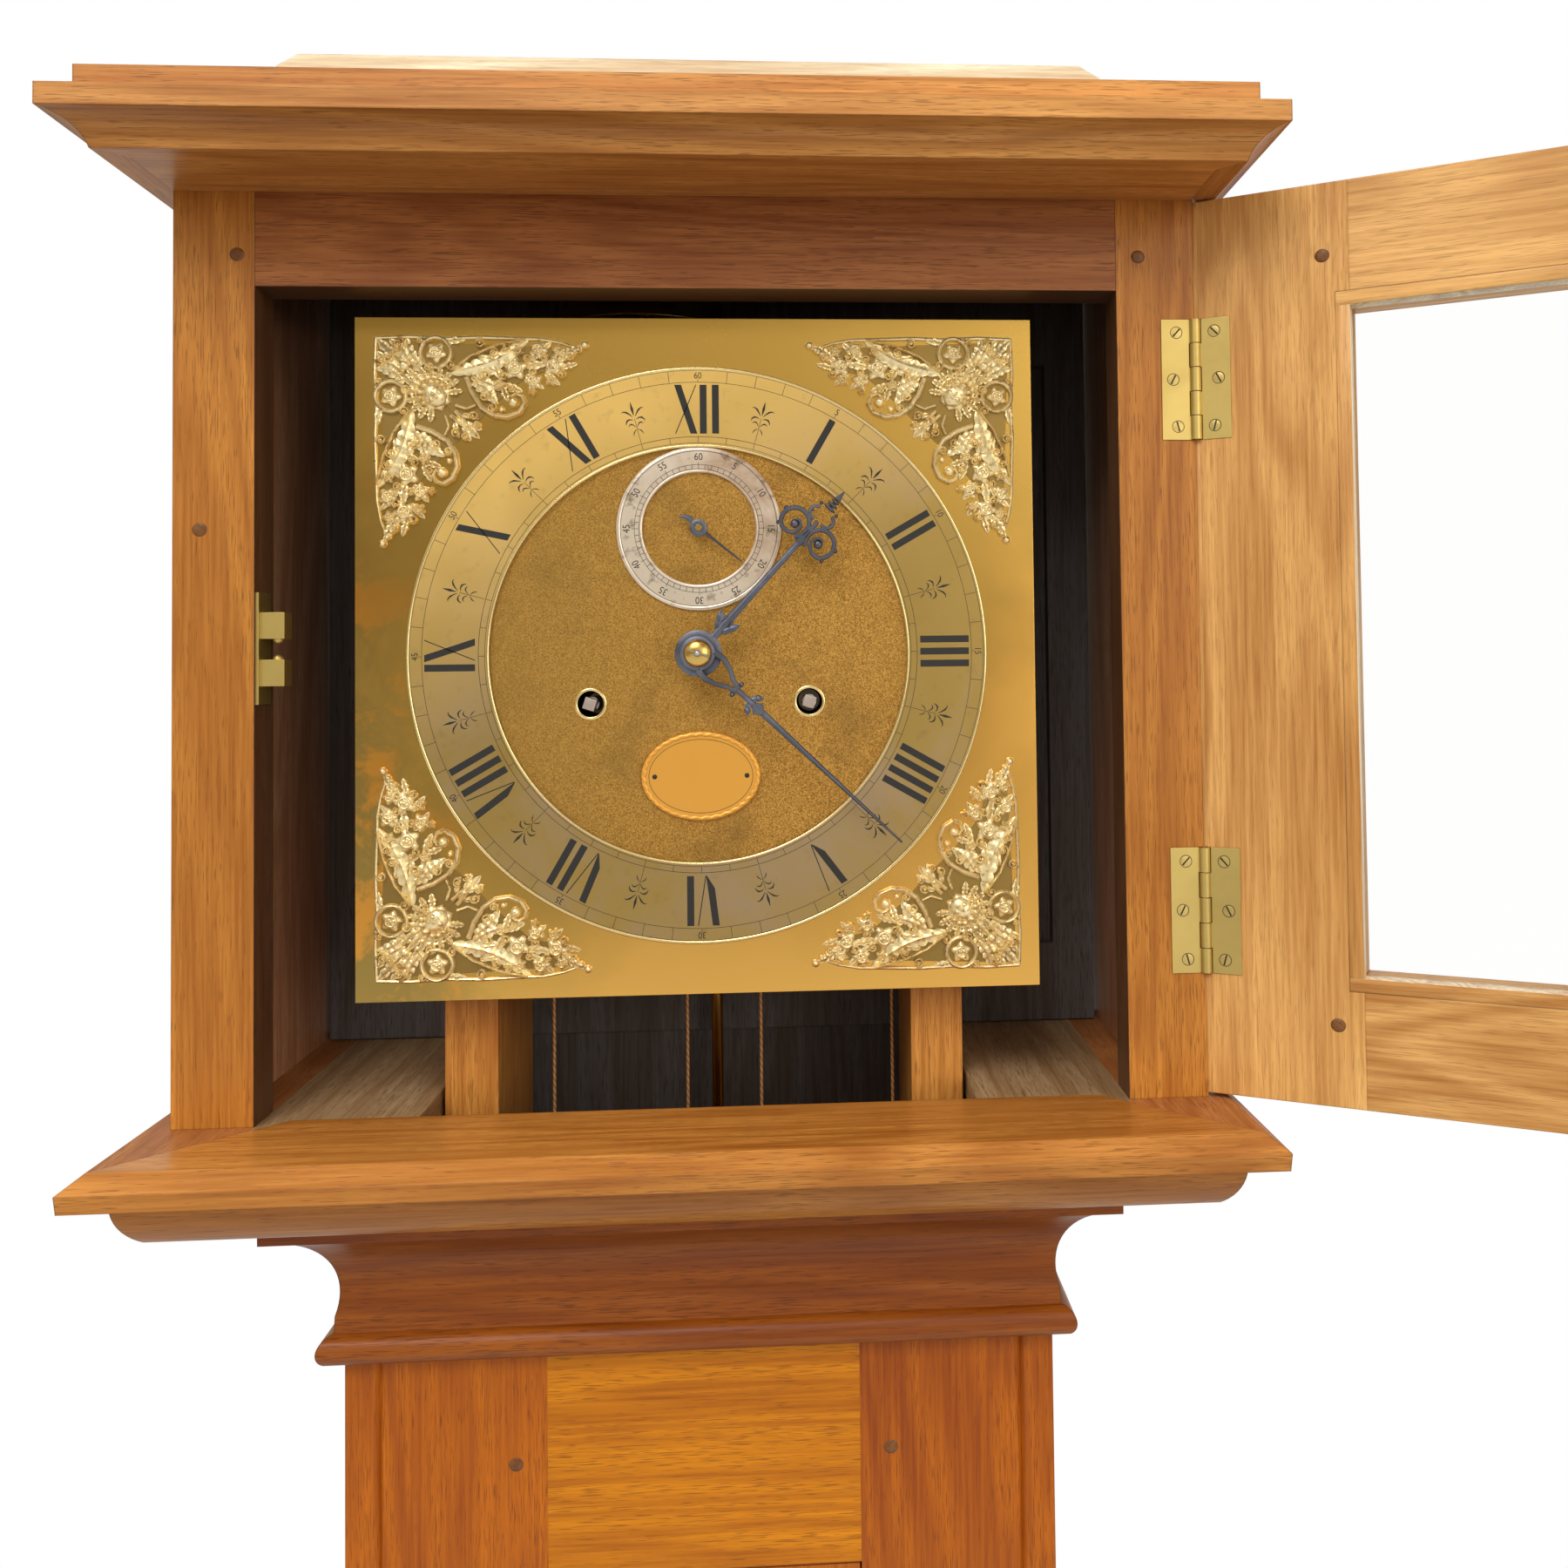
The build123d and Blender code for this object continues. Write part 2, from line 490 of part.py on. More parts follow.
def build_train():
    plate_low = SEAT_HIGH
    front = box(-PLATE_HALF, PLATE_HALF, PLATE_FRONT, PLATE_FRONT + PLATE_THICK, plate_low, PLATE_TOP)
    back = box(-PLATE_HALF, PLATE_HALF, PLATE_BACK, PLATE_BACK + PLATE_THICK, plate_low, PLATE_TOP)
    inner_front, inner_back = PLATE_FRONT + PLATE_THICK, PLATE_BACK
    y0, y1 = PLATE_FRONT - 2, PLATE_BACK + PLATE_THICK + 2
    pivot = 1.5
    for x, z, f, b in (
        (0.0, DIAL_Z, 2.5, pivot),
        (THIRD_X, THIRD_Z, pivot, pivot),
        (0.0, SEC_Z, pivot, pivot),
        (0.0, PALLET_Z, pivot, 3.0),
        (-WIND_X, WIND_Z, 5.0, 3.5),
        (WIND_X, WIND_Z, 5.0, 3.5),
    ):
        front = front - rod_y(x, z, f + FIT, y0, inner_front + 1)
        back = back - rod_y(x, z, b + FIT, inner_back - 1, y1)
    front = front + rod_y(0, MOTION_Z, 1.5, PLATE_FRONT - 17.0, PLATE_FRONT)
    cock_top = PALLET_Z + 14.4
    cock = box(-12, 12, PLATE_BACK + PLATE_THICK, ROD_Y + 6, cock_top - 8, cock_top)
    cock = cock - box(-1.5, 1.5, ROD_Y - 6, ROD_Y + 8, cock_top - 9, cock_top + 1)
    foot = box(5, 12, PLATE_BACK + PLATE_THICK, PLATE_BACK + 7.5, PALLET_Z - 8, cock_top)
    bridge = box(-12, 12, PLATE_BACK + 12.5, PLATE_BACK + 14.5, PALLET_Z - 4, cock_top - 8)
    bridge = bridge - rod_y(0, PALLET_Z, pivot + FIT, PLATE_BACK + 10, PLATE_BACK + 16)
    save("plate_front", front)
    save("plate_back", back + cock + foot + bridge)
    pillars = [rod_y(x, z, 5.0, inner_front, inner_back) for x in (-84.5, 84.5) for z in (1572.0, 1740.0)]
    save("plate_pillars", *pillars)
    great_y, centre_y, third_y, escape_y = 28.0, -10.0, 36.0, 10.0
    cannon_y, hour_y = -22.0, -30.0
    centre_phase = 0.0
    pinion_phase = 0.2
    # Centre arbor: wheel, pinion and the cannon wheel with its pipe
    wheel = crossed(
        gear(0, DIAL_Z, centre_y, centre_y + 2.2, 60, MODULE_TRAIN, centre_phase),
        0, DIAL_Z, centre_y, centre_y + 2.2, 22.5, 6.0, 4, 3.0,
    )
    centre = wheel + gear(0, DIAL_Z, great_y - 2, great_y + 5, 7, MODULE_GREAT, pinion_phase)
    centre = centre + rod_y(0, DIAL_Z, 2.5, -62.0, PLATE_BACK)
    centre = centre + rod_y(0, DIAL_Z, pivot, PLATE_BACK - 1, PLATE_BACK + 3)
    centre = centre + gear(0, DIAL_Z, cannon_y, cannon_y + 2, 30, MODULE_TRAIN, 0.0)
    centre = centre + rod_y(0, DIAL_Z, 3.6, -60.0, cannon_y + 3)
    save("centre_wheel", centre)
    motion_phase = meshed(0, DIAL_Z, 30, 0.0, 0, MOTION_Z, 30)
    motion = gear(0, MOTION_Z, cannon_y, cannon_y + 2, 30, MODULE_TRAIN, motion_phase)
    motion = motion + gear(0, MOTION_Z, hour_y - 1, cannon_y + 1, 6, MODULE_HOUR, motion_phase)
    motion = motion - rod_y(0, MOTION_Z, 1.5 + FIT, -34, -18)
    save("motion_wheel", motion)
    hour_phase = meshed(0, MOTION_Z, 6, motion_phase, 0, DIAL_Z, 72)
    hour = gear(0, DIAL_Z, hour_y, hour_y + 2, 72, MODULE_HOUR, hour_phase)
    hour = hour + rod_y(0, DIAL_Z, 5.0, -57.5, -26.0)
    hour = hour - rod_y(0, DIAL_Z, 3.6 + FIT, -60, -24)
    save("hour_wheel", hour)
    great_phase = meshed(0, DIAL_Z, 7, pinion_phase, WIND_X, WIND_Z, 84)
    great = crossed(
        gear(WIND_X, WIND_Z, great_y, great_y + 3, 84, MODULE_GREAT, great_phase),
        WIND_X, WIND_Z, great_y, great_y + 3, 43.0, 12.0, 4, 6.0,
    )
    great = great - rod_y(WIND_X, WIND_Z, 3.5 + FIT, great_y - 1, great_y + 4)
    save("going_great_wheel", great)
    third_pinion = meshed(0, DIAL_Z, 60, centre_phase, THIRD_X, THIRD_Z, 8)
    third = gear(THIRD_X, THIRD_Z, centre_y - 1.5, centre_y + 4, 8, MODULE_TRAIN, third_pinion)
    third = third + rod_y(THIRD_X, THIRD_Z, 2.0, inner_front + 0.3, inner_back - 0.3)
    third = third + rod_y(THIRD_X, THIRD_Z, pivot, PLATE_FRONT + 0.5, PLATE_BACK + 3)
    third = third + crossed(
        gear(THIRD_X, THIRD_Z, third_y, third_y + 2, 56, MODULE_TRAIN, 0.0),
        THIRD_X, THIRD_Z, third_y, third_y + 2, 21.0, 5.0, 4, 2.6,
    )
    save("third_wheel", third)
    escape_phase = meshed(THIRD_X, THIRD_Z, 56, 0.0, 0, SEC_Z, 7)
    escape = gear(0, SEC_Z, third_y - 1.5, third_y + 4, 7, MODULE_TRAIN, escape_phase)
    escape = escape + rod_y(0, SEC_Z, 2.0, inner_front + 0.3, inner_back - 0.3)
    escape = escape + rod_y(0, SEC_Z, pivot, -50.0, PLATE_BACK + 3)
    points = []
    for k in range(30):
        for radius, share in ((17.8, 0.0), (22.0, 0.36), (21.8, 0.44), (17.8, 0.5)):
            a = 2 * math.pi * (k + share) / 30
            points.append((radius * math.sin(a), SEC_Z + radius * math.cos(a)))
    blank = panel_y(points, escape_y, escape_y + 1.6)
    escape = escape + crossed(blank, 0, SEC_Z, escape_y, escape_y + 1.6, 15.0, 5.0, 4, 2.2)
    save("escape_wheel", escape)
    for name, x in (("strike_barrel", -WIND_X), ("going_barrel", WIND_X)):
        barrel = rod_y(x, WIND_Z, BARREL_R, -5.0, 24.0) + rod_y(x, WIND_Z, 28.0, -6.5, -5.0)
        barrel = barrel + rod_y(x, WIND_Z, 28.0, 24.0, 25.5)
        barrel = barrel + rod_y(x, WIND_Z, 5.0, PLATE_FRONT - 1, -6.0)
        barrel = barrel + rod_y(x, WIND_Z, 3.5, 25.0, PLATE_BACK + 3)
        # The arbor is thinner in front of the plate and ends in the winding square
        barrel = barrel + rod_y(x, WIND_Z, 3.2, -40.0, PLATE_FRONT)
        barrel = barrel + Pos(x, -43.0, WIND_Z) * Rot(0, 18, 0) * Box(5.2, 10, 5.2)
        save(name, barrel)


def build_pendulum():
    anchor_y0, anchor_y1 = 8.6, 13.0
    arm = []
    reach, drop = 19.0, -19.8
    arbor = rod_y(0, PALLET_Z, 3.0, PLATE_FRONT + PLATE_THICK + 0.3, PLATE_BACK + 9.0)
    arbor = arbor + rod_y(0, PALLET_Z, 1.5, PLATE_FRONT + 0.5, PLATE_BACK + 14.0)
    for sign in (-1, 1):
        points = [
            (sign * 2.0, PALLET_Z + 4.5),
            ((sign * 15.0, PALLET_Z + 1.0), (sign * (reach + 4), PALLET_Z + drop + 3)),
            (sign * (reach + 1), PALLET_Z + drop + 4.5),
            ((sign * 12.5, PALLET_Z - 3.5), (sign * 2.0, PALLET_Z - 3.0)),
        ]
        arm.append(panel_y(points, anchor_y0, anchor_y1))
    pallets = arbor + arm[0] + arm[1] + rod_y(0, PALLET_Z, 5.0, anchor_y0, anchor_y1)
    crutch_y = PLATE_BACK + 7.5
    low = DIAL_Z + 5.0
    pallets = pallets + box(-2, 2, crutch_y, crutch_y + 1.5, low, PALLET_Z)
    for sign in (-1, 1):
        pallets = pallets + box(sign * 3.6, sign * 6.0, crutch_y, ROD_Y + 3.0, low, low + 4.0)
    pallets = pallets + box(-6, 6, crutch_y, crutch_y + 1.5, low, low + 4.0)
    save("pallets", pallets)
    top = PALLET_Z + 14.4
    pendulum = box(-0.5, 0.5, ROD_Y - 4, ROD_Y + 4, PALLET_Z - 40, top + 2)
    pendulum = pendulum + rod_x(-5, 5, ROD_Y, top + 2.2, 1.6)
    pendulum = pendulum + box(-3, 3, ROD_Y - 3.5, ROD_Y + 3.5, PALLET_Z - 52, PALLET_Z - 36)
    pendulum = pendulum + rod_z(0, ROD_Y, 3.0, BOB_Z - 72, PALLET_Z - 50)
    lens = turned_y([(0, -12), (20, -11), (40, -6.5), (50, -1.5), (50, 1.5), (40, 6.5), (20, 11), (0, 12)])
    pendulum = pendulum + Pos(0, ROD_Y, BOB_Z) * lens
    pendulum = pendulum + rod_z(0, ROD_Y, 7.0, BOB_Z - 62, BOB_Z - 55)
    save("pendulum", pendulum)


def build_weights():
    for name, barrel_x in (("strike", -WIND_X), ("going", WIND_X)):
        down_x = barrel_x - LINE_OFF
        up_x = down_x + 2 * PULLEY_R
        mid = down_x + PULLEY_R
        route = Wire(
            [
                Edge.make_line((down_x, LINE_Y, WIND_Z), (down_x, LINE_Y, PULLEY_Z)),
                Edge.make_three_point_arc(
                    (down_x, LINE_Y, PULLEY_Z), (mid, LINE_Y, PULLEY_Z - PULLEY_R), (up_x, LINE_Y, PULLEY_Z)
                ),
                Edge.make_line((up_x, LINE_Y, PULLEY_Z), (up_x, LINE_Y, SEAT_HIGH + 2)),
            ]
        )
        section = Plane(origin=(down_x, LINE_Y, WIND_Z), z_dir=(0, 0, -1)) * Circle(LINE_R)
        line = sweep(section, path=route)
        want = route.length * math.pi * LINE_R**2
        print(name, "line", round(route.length), "mm, arc", PULLEY_R)
        print("volume", round(line.volume), "of", round(want))
        line = line + Pos(up_x, LINE_Y, SEAT_HIGH + 4.5) * Sphere(4.5)
        save(f"{name}_line", line)
        groove = [
            (2.05, -5), (34, -5), (34.5, -4), (30.0, -1.2), (30.0, 1.2), (34.5, 4), (34, 5), (2.05, 5)
        ]
        pulley = Pos(mid, LINE_Y, PULLEY_Z) * turned_y(groove)
        save(f"{name}_pulley", pulley)
        body = [(0, 150), (27, 150), (30, 153), (30, 296), (27, 300), (6, 304), (6, 318), (0, 318)]
        weight = Pos(mid, LINE_Y, 0) * turned_z(body)
        weight = weight + box(mid - 7, mid + 7, -9.5, 9.5, 314, 320)
        for y0, y1 in ((-9.5, -6.5), (6.5, 9.5)):
            weight = weight + box(mid - 7, mid + 7, y0, y1, 314, PULLEY_Z) + rod_y(mid, PULLEY_Z, 7, y0, y1)
        weight = weight + rod_y(mid, PULLEY_Z, 2.0, -8, 8)
        save(f"{name}_weight", weight)


def hand_flat(shapes, holes, angle, z, y0, thick):
    # Shapes are drawn with the tip up and then turned clockwise to the hand's place
    sketch = shapes[0]
    for shape in shapes[1:]:
        sketch = sketch + shape
    for hole in holes:
        sketch = sketch - hole
    flat = extrude(Plane.XZ * sketch, thick, dir=(0, -1, 0))
    return Pos(0, y0 + thick, z) * Rot(0, angle, 0) * flat


def disc(v, u, radius):
    return Pos(v, u) * Circle(radius)


def shape_of(*points):
    return make_face(Polyline(*points, close=True))


def both(*points):
    return list(points) + [(-v, u) for v, u in reversed(points)]


def build_dial():
    half = DIAL_SIDE / 2
    y0, y1 = DIAL_Y, DIAL_Y + DIAL_THICK
    plate = box(-half, half, y0, y1, DIAL_Z - half, DIAL_Z + half)
    plate = plate - rod_y(0, DIAL_Z, 6.0, y0 - 1, y1 + 1) - rod_y(0, SEC_Z, 3.0, y0 - 1, y1 + 1)
    feet = []
    for side in (-1, 1):
        plate = plate - rod_y(side * WIND_X, WIND_Z, WIND_HOLE, y0 - 1, y1 + 1)
        for z in (DIAL_Z - 62.0, DIAL_Z + 64.0):
            feet.append(rod_y(side * 78.0, z, 3.0, y1, PLATE_FRONT))
    save("dial_plate", plate, *feet)
    ring = rod_y(0, DIAL_Z, RING_OUT, y0 - 1.5, y0) - rod_y(0, DIAL_Z, RING_IN, y0 - 2, y0 + 1)
    save("chapter_ring", ring)
    seconds = rod_y(0, SEC_Z, SEC_OUT, y0 - 1.2, y0) - rod_y(0, SEC_Z, SEC_IN, y0 - 2, y0 + 1)
    seconds = seconds & rod_y(0, DIAL_Z, RING_IN - 0.1, y0 - 3, y0 + 1)
    save("seconds_ring", seconds)
    oval = extrude(Plane.XZ * Ellipse(26.5, 19.8), 1.2, dir=(0, -1, 0))
    save("oval_plate", Pos(0, y0, DIAL_Z - 55.0) * oval)
    far, near, round_r = 149.0, 52.0, 133.5
    start = math.sqrt(round_r**2 - near**2)
    mid = round_r / math.sqrt(2)
    corner = Face(
        Wire(
            [
                Edge.make_line((near, start), (near + 4, far - 14)),
                Edge.make_line((near + 4, far - 14), (near + 22, far)),
                Edge.make_line((near + 22, far), (far, far)),
                Edge.make_line((far, far), (far, near + 22)),
                Edge.make_line((far, near + 22), (far - 14, near + 4)),
                Edge.make_line((far - 14, near + 4), (start, near)),
                Edge.make_three_point_arc((start, near), (mid, mid), (near, start)),
            ]
        )
    )
    for v, u, r in ((138, 116, 4.5), (116, 138, 4.5), (113, 113, 3.0)):
        corner = corner - disc(v, u, r)
    leaf = extrude(Plane.XZ * corner, 2.6, dir=(0, -1, 0))
    leaf = Pos(0, y0, DIAL_Z) * leaf
    found = []
    for sx, sz in ((0, 0), (1, 0), (0, 1), (1, 1)):
        piece = leaf
        if sx:
            piece = mirror(piece, Plane.YZ)
        if sz:
            piece = mirror(piece, Plane.XY.offset(DIAL_Z))
        found.append(piece)
    save("corner_spandrels", *found)
    # The pierced hands are the most skilful work on the front
    hour_y, minute_y, second_y, thick = -57.0, -60.6, -49.6, 1.4
    stem = shape_of(*both((2.4, 8.0), (1.7, 66.0)))
    collar = [disc(0, 17.0, 4.2), disc(-3.6, 20.5, 2.6), disc(3.6, 20.5, 2.6)]
    curls = [disc(-7.9, 72.0, 7.4), disc(7.9, 72.0, 7.4), disc(0, 67.0, 4.0), disc(0, 80.5, 5.0)]
    tip = shape_of(*both((1.6, 81.0), (4.6, 87.0), (0.35, 97.0)))
    bore = disc(0, 0, 5.0)
    eyes = [disc(-7.9, 72.0, 3.6), disc(7.9, 72.0, 3.6), disc(0, 80.5, 2.3)]
    shapes = [disc(0, 0, 10.5), stem] + collar + curls + [tip]
    hour = hand_flat(shapes, [bore] + eyes, HOUR_ANGLE, DIAL_Z, hour_y, thick)
    save("hour_hand", hour)
    fork = [disc(0, 12.5, 6.4), shape_of(*both((1.6, 17.0), (1.3, 33.0)))]
    knob = [disc(0, 36.5, 3.0), disc(-3.6, 33.0, 2.4), disc(3.6, 33.0, 2.4)]
    blade = shape_of(*both((1.5, 36.0), (0.45, 123.0)))
    shapes = [disc(0, 0, 8.0)] + fork + knob + [blade]
    holes = [disc(0, 0, 3.6), disc(0, 12.8, 3.2)]
    minute = hand_flat(shapes, holes, MINUTE_ANGLE, DIAL_Z, minute_y, thick)
    collet = turned_y([(2.5, -3.0), (4.4, -2.6), (6.2, -1.0), (6.2, 0.0), (2.5, 0.0)])
    minute = minute + Pos(0, minute_y, DIAL_Z) * collet
    save("minute_hand", minute)
    pointer = shape_of(*both((1.4, 0.0), (0.5, 24.5)))
    tail = shape_of(*both((1.0, 0.0), (2.2, -9.0)))
    shapes = [disc(0, 0, 4.2), pointer, tail, disc(0, -10.0, 2.6)]
    seconds = hand_flat(shapes, [disc(0, 0, 1.5)], SECONDS_ANGLE, SEC_Z, second_y, 1.0)
    save("seconds_hand", seconds)


def build_bell():
    # The cup hangs on a post whose arm comes off an upright on the back plate
    x, y, rim, crown, wall = -30.0, 14.0, 1798.0, 1827.0, 3.0
    outside = [(45.0, rim), (38.0, rim + 15), (27.0, crown - 4), (0.0, crown)]
    inside = [(0.0, crown - wall), (25.0, crown - 7), (35.0, rim + 13), (42.0, rim)]
    cup = Pos(x, y, 0) * turned_z(outside + inside)
    back = PLATE_BACK + 6.5
    arm_low = rim - 9.0
    nut = rod_z(x, y, 2.5, crown, crown + 4)
    post = rod_z(x, y, 2.5, arm_low + wall, crown - wall)
    arm = box(x - 6, x + 6, y - 6, back, arm_low, arm_low + wall)
    upright = box(x - 6, x + 6, PLATE_BACK + PLATE_THICK, back, 1712.0, arm_low)
    save("strike_bell", cup, nut, post, arm, upright)


hinge_moving, tongue_z, tongue_y = build_hood()
build_door(hinge_moving, tongue_z, tongue_y)
build_cap()
build_trunk()
build_base()
build_seat()
build_train()
build_pendulum()
build_weights()
build_dial()
build_bell()
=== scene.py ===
import math
import bpy
from mathutils import Matrix, Vector


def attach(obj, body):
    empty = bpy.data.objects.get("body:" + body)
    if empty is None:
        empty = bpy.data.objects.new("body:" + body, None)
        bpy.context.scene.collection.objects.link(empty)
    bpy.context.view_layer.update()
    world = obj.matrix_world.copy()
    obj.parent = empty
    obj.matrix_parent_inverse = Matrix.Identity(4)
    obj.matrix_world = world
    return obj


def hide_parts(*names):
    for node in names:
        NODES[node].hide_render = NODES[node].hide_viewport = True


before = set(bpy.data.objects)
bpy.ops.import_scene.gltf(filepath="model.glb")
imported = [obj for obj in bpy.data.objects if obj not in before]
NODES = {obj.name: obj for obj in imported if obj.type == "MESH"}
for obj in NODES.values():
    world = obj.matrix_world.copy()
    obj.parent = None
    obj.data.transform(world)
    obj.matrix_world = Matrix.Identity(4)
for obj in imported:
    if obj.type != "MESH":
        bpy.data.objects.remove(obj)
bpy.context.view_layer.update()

# Metres, as in the model: the dial's centre and front face, the front of the chapter ring, that of the
# seconds ring and the oval plate, the seconds ring's centre and the edge of the matting
MM = 0.001
DZ = 1.640
DY = -0.0445
RING_Y = DY - 0.0015
SMALL_Y = DY - 0.0012
SEC_Z = DZ + 0.0566
MATT_R = 0.1000

# The backs of the hands, the collet and the pin
HOUR_Y = -0.0556
MINUTE_Y = -0.0592
COLLET_Y = -0.0606
PIN_Y = -0.0620
SECOND_Y = -0.0486

# The case's front faces, and the open door on its hinge axis
HOOD_FRONT = DY - 0.0212
TRUNK_FRONT = DY - 0.0088
DOOR_FRONT = HOOD_FRONT - 0.0008
AXIS = Vector((0.22345, HOOD_FRONT - 0.0004, 0.0))
DOOR_ANGLE = math.radians(151.2)
SWING = Matrix.Translation(AXIS) @ Matrix.Rotation(DOOR_ANGLE, 4, "Z") @ Matrix.Translation(-AXIS)
HINGES = ((DZ - 0.1441, DZ - 0.0887), (DZ + 0.0931, DZ + 0.1474))
DOOR_LOW, DOOR_HIGH = DZ - 0.1967, DZ + 0.2005


def add_object(name, data):
    obj = bpy.data.objects.new(name, data)
    bpy.context.scene.collection.objects.link(obj)
    return obj


# Node helpers
class Nodes:
    def __init__(self, tree, space):
        self.tree = tree
        self.coord = self.add("ShaderNodeTexCoord").outputs[space]

    def link(self, a, b):
        self.tree.links.new(a, b)

    def put(self, socket, value):
        # A value is a number, a colour, a vector or the output of another node
        if hasattr(value, "is_output"):
            self.link(value, socket)
        else:
            socket.default_value = (*value, 1.0) if socket.type == "RGBA" else value

    def add(self, kind, inputs=None, **props):
        node = self.tree.nodes.new(kind)
        for key, value in props.items():
            setattr(node, key, value)
        for key, value in (inputs or {}).items():
            self.put(node.inputs[key], value)
        return node

    def mapping(self, scale, rotation=(0, 0, 0), location=(0, 0, 0), source=None):
        values = {"Vector": source or self.coord, "Scale": scale, "Rotation": rotation, "Location": location}
        return self.add("ShaderNodeMapping", values).outputs["Vector"]

    def split(self, source=None):
        return self.add("ShaderNodeSeparateXYZ", {0: source or self.coord}).outputs

    def noise(self, vector, scale=1.0, detail=3.0, rough=0.5, distort=0.0):
        form = {"Scale": scale, "Detail": detail, "Roughness": rough, "Distortion": distort}
        return self.add("ShaderNodeTexNoise", {"Vector": vector, **form}).outputs["Fac"]

    def cloud(self, size, detail, rough=0.6, distort=0.0, location=(0, 0, 0)):
        # A noise that is alike in every direction, with so many features to a metre
        return self.noise(self.mapping((size, size, size), location=location), 1.0, detail, rough, distort)

    def math(self, op, a, b=0.0, c=0.0):
        return self.add("ShaderNodeMath", {0: a, 1: b, 2: c}, operation=op).outputs[0]

    def ramp(self, fac, stops):
        node = self.add("ShaderNodeValToRGB", {"Fac": fac})
        elements = node.color_ramp.elements
        for k, (place, value) in enumerate(stops):
            element = elements[k] if k < 2 else elements.new(place)
            element.position = place
            color = value if isinstance(value, tuple) else (value, value, value)
            element.color = (*color, 1.0)
        return node.outputs["Color"]

    def rise(self, fac, low, high, share=1.0):
        # From 0 to a share of 1 between two values
        out = self.ramp(fac, [(low, 0.0), (high, 1.0)])
        return out if share == 1.0 else self.math("MULTIPLY", out, share)

    def mix(self, fac, a, b, blend="MIX"):
        values = {0: fac, 6: a, 7: b}
        return self.add("ShaderNodeMix", values, data_type="RGBA", blend_type=blend).outputs[2]

    def mix_shaders(self, fac, a, b):
        return self.add("ShaderNodeMixShader", {0: fac, 1: a.outputs[0], 2: b.outputs[0]})

    def bump(self, height, strength, distance, normal=None):
        values = {"Height": height, "Strength": strength, "Distance": distance}
        if normal is not None:
            values["Normal"] = normal
        return self.add("ShaderNodeBump", values).outputs["Normal"]

    def bevel(self, radius):
        return self.add("ShaderNodeBevel", {"Radius": radius}, samples=4).outputs["Normal"]


class Material(Nodes):
    def __init__(self, name):
        self.mat = bpy.data.materials.new(name)
        self.mat.use_nodes = True
        super().__init__(self.mat.node_tree, "Object")
        self.bsdf = self.tree.nodes["Principled BSDF"]

    def finish(self, color, rough, normal=None, metal=0.0, **others):
        # The others are named as the shader's sockets, with _ for a space
        values = {"Base Color": color, "Roughness": rough, "Metallic": metal}
        if normal is not None:
            values["Normal"] = normal
        values.update({key.replace("_", " "): value for key, value in others.items()})
        for key, value in values.items():
            self.put(self.bsdf.inputs[key], value)
        return self.mat


# Oak; a face belongs to a side or the back where its normal has this share along that axis
FACING = 0.7


def grain_vector(n, axis, along, across, seed):
    scale = {"x": (along, across, across), "y": (across, along, across), "z": (across, across, along)}
    place = (seed, seed * 1.7, seed * 2.3)
    if axis == "door":
        turned = n.mapping((1, 1, 1), rotation=(0, 0, -DOOR_ANGLE))
        return n.mapping(scale["x"], location=place, source=turned)
    return n.mapping(scale[axis], location=place)


def oak_color(n, axis, seed, tone, pore):
    # Contour lines of a stretched noise give the figure, thin streaks give the open pores
    light = tuple(min(1.0, c * f) for c, f in zip(tone, (1.26, 1.36, 1.60)))
    dark = tuple(c * f for c, f in zip(tone, (0.60, 0.46, 0.34)))
    field = n.noise(grain_vector(n, axis, 1.3, 13.0, seed), 1.0, 3.0, 0.45, 0.6)
    rings = n.math("SINE", n.math("MULTIPLY", field, 90.0))
    rings = n.math("MULTIPLY_ADD", rings, 0.5, 0.5)
    fibre = n.noise(grain_vector(n, axis, 16.0, 560.0, seed + 3), 1.0, 3.0, 0.65)
    blotch = n.noise(grain_vector(n, axis, 3.0, 9.0, seed + 5), 1.0, 3.0, 0.55)
    tone_map = n.math("ADD", n.math("MULTIPLY", rings, 0.20), n.math("MULTIPLY", fibre, 0.70))
    tone_map = n.math("ADD", tone_map, n.math("MULTIPLY", blotch, 0.50))
    base = n.ramp(tone_map, [(0.42, dark), (0.96, light)])
    pores = n.noise(grain_vector(n, axis, 95.0, 2000.0, seed + 7), 1.0, 1.0, 0.5)
    pores = n.math("ADD", pores, n.math("MULTIPLY_ADD", rings, 0.10, -0.05))
    pores = n.rise(pores, 0.59, 0.68)
    deep = tuple(c * 0.40 for c in dark)
    return n.mix(n.math("MULTIPLY", pores, pore), base, deep), pores, fibre, blotch


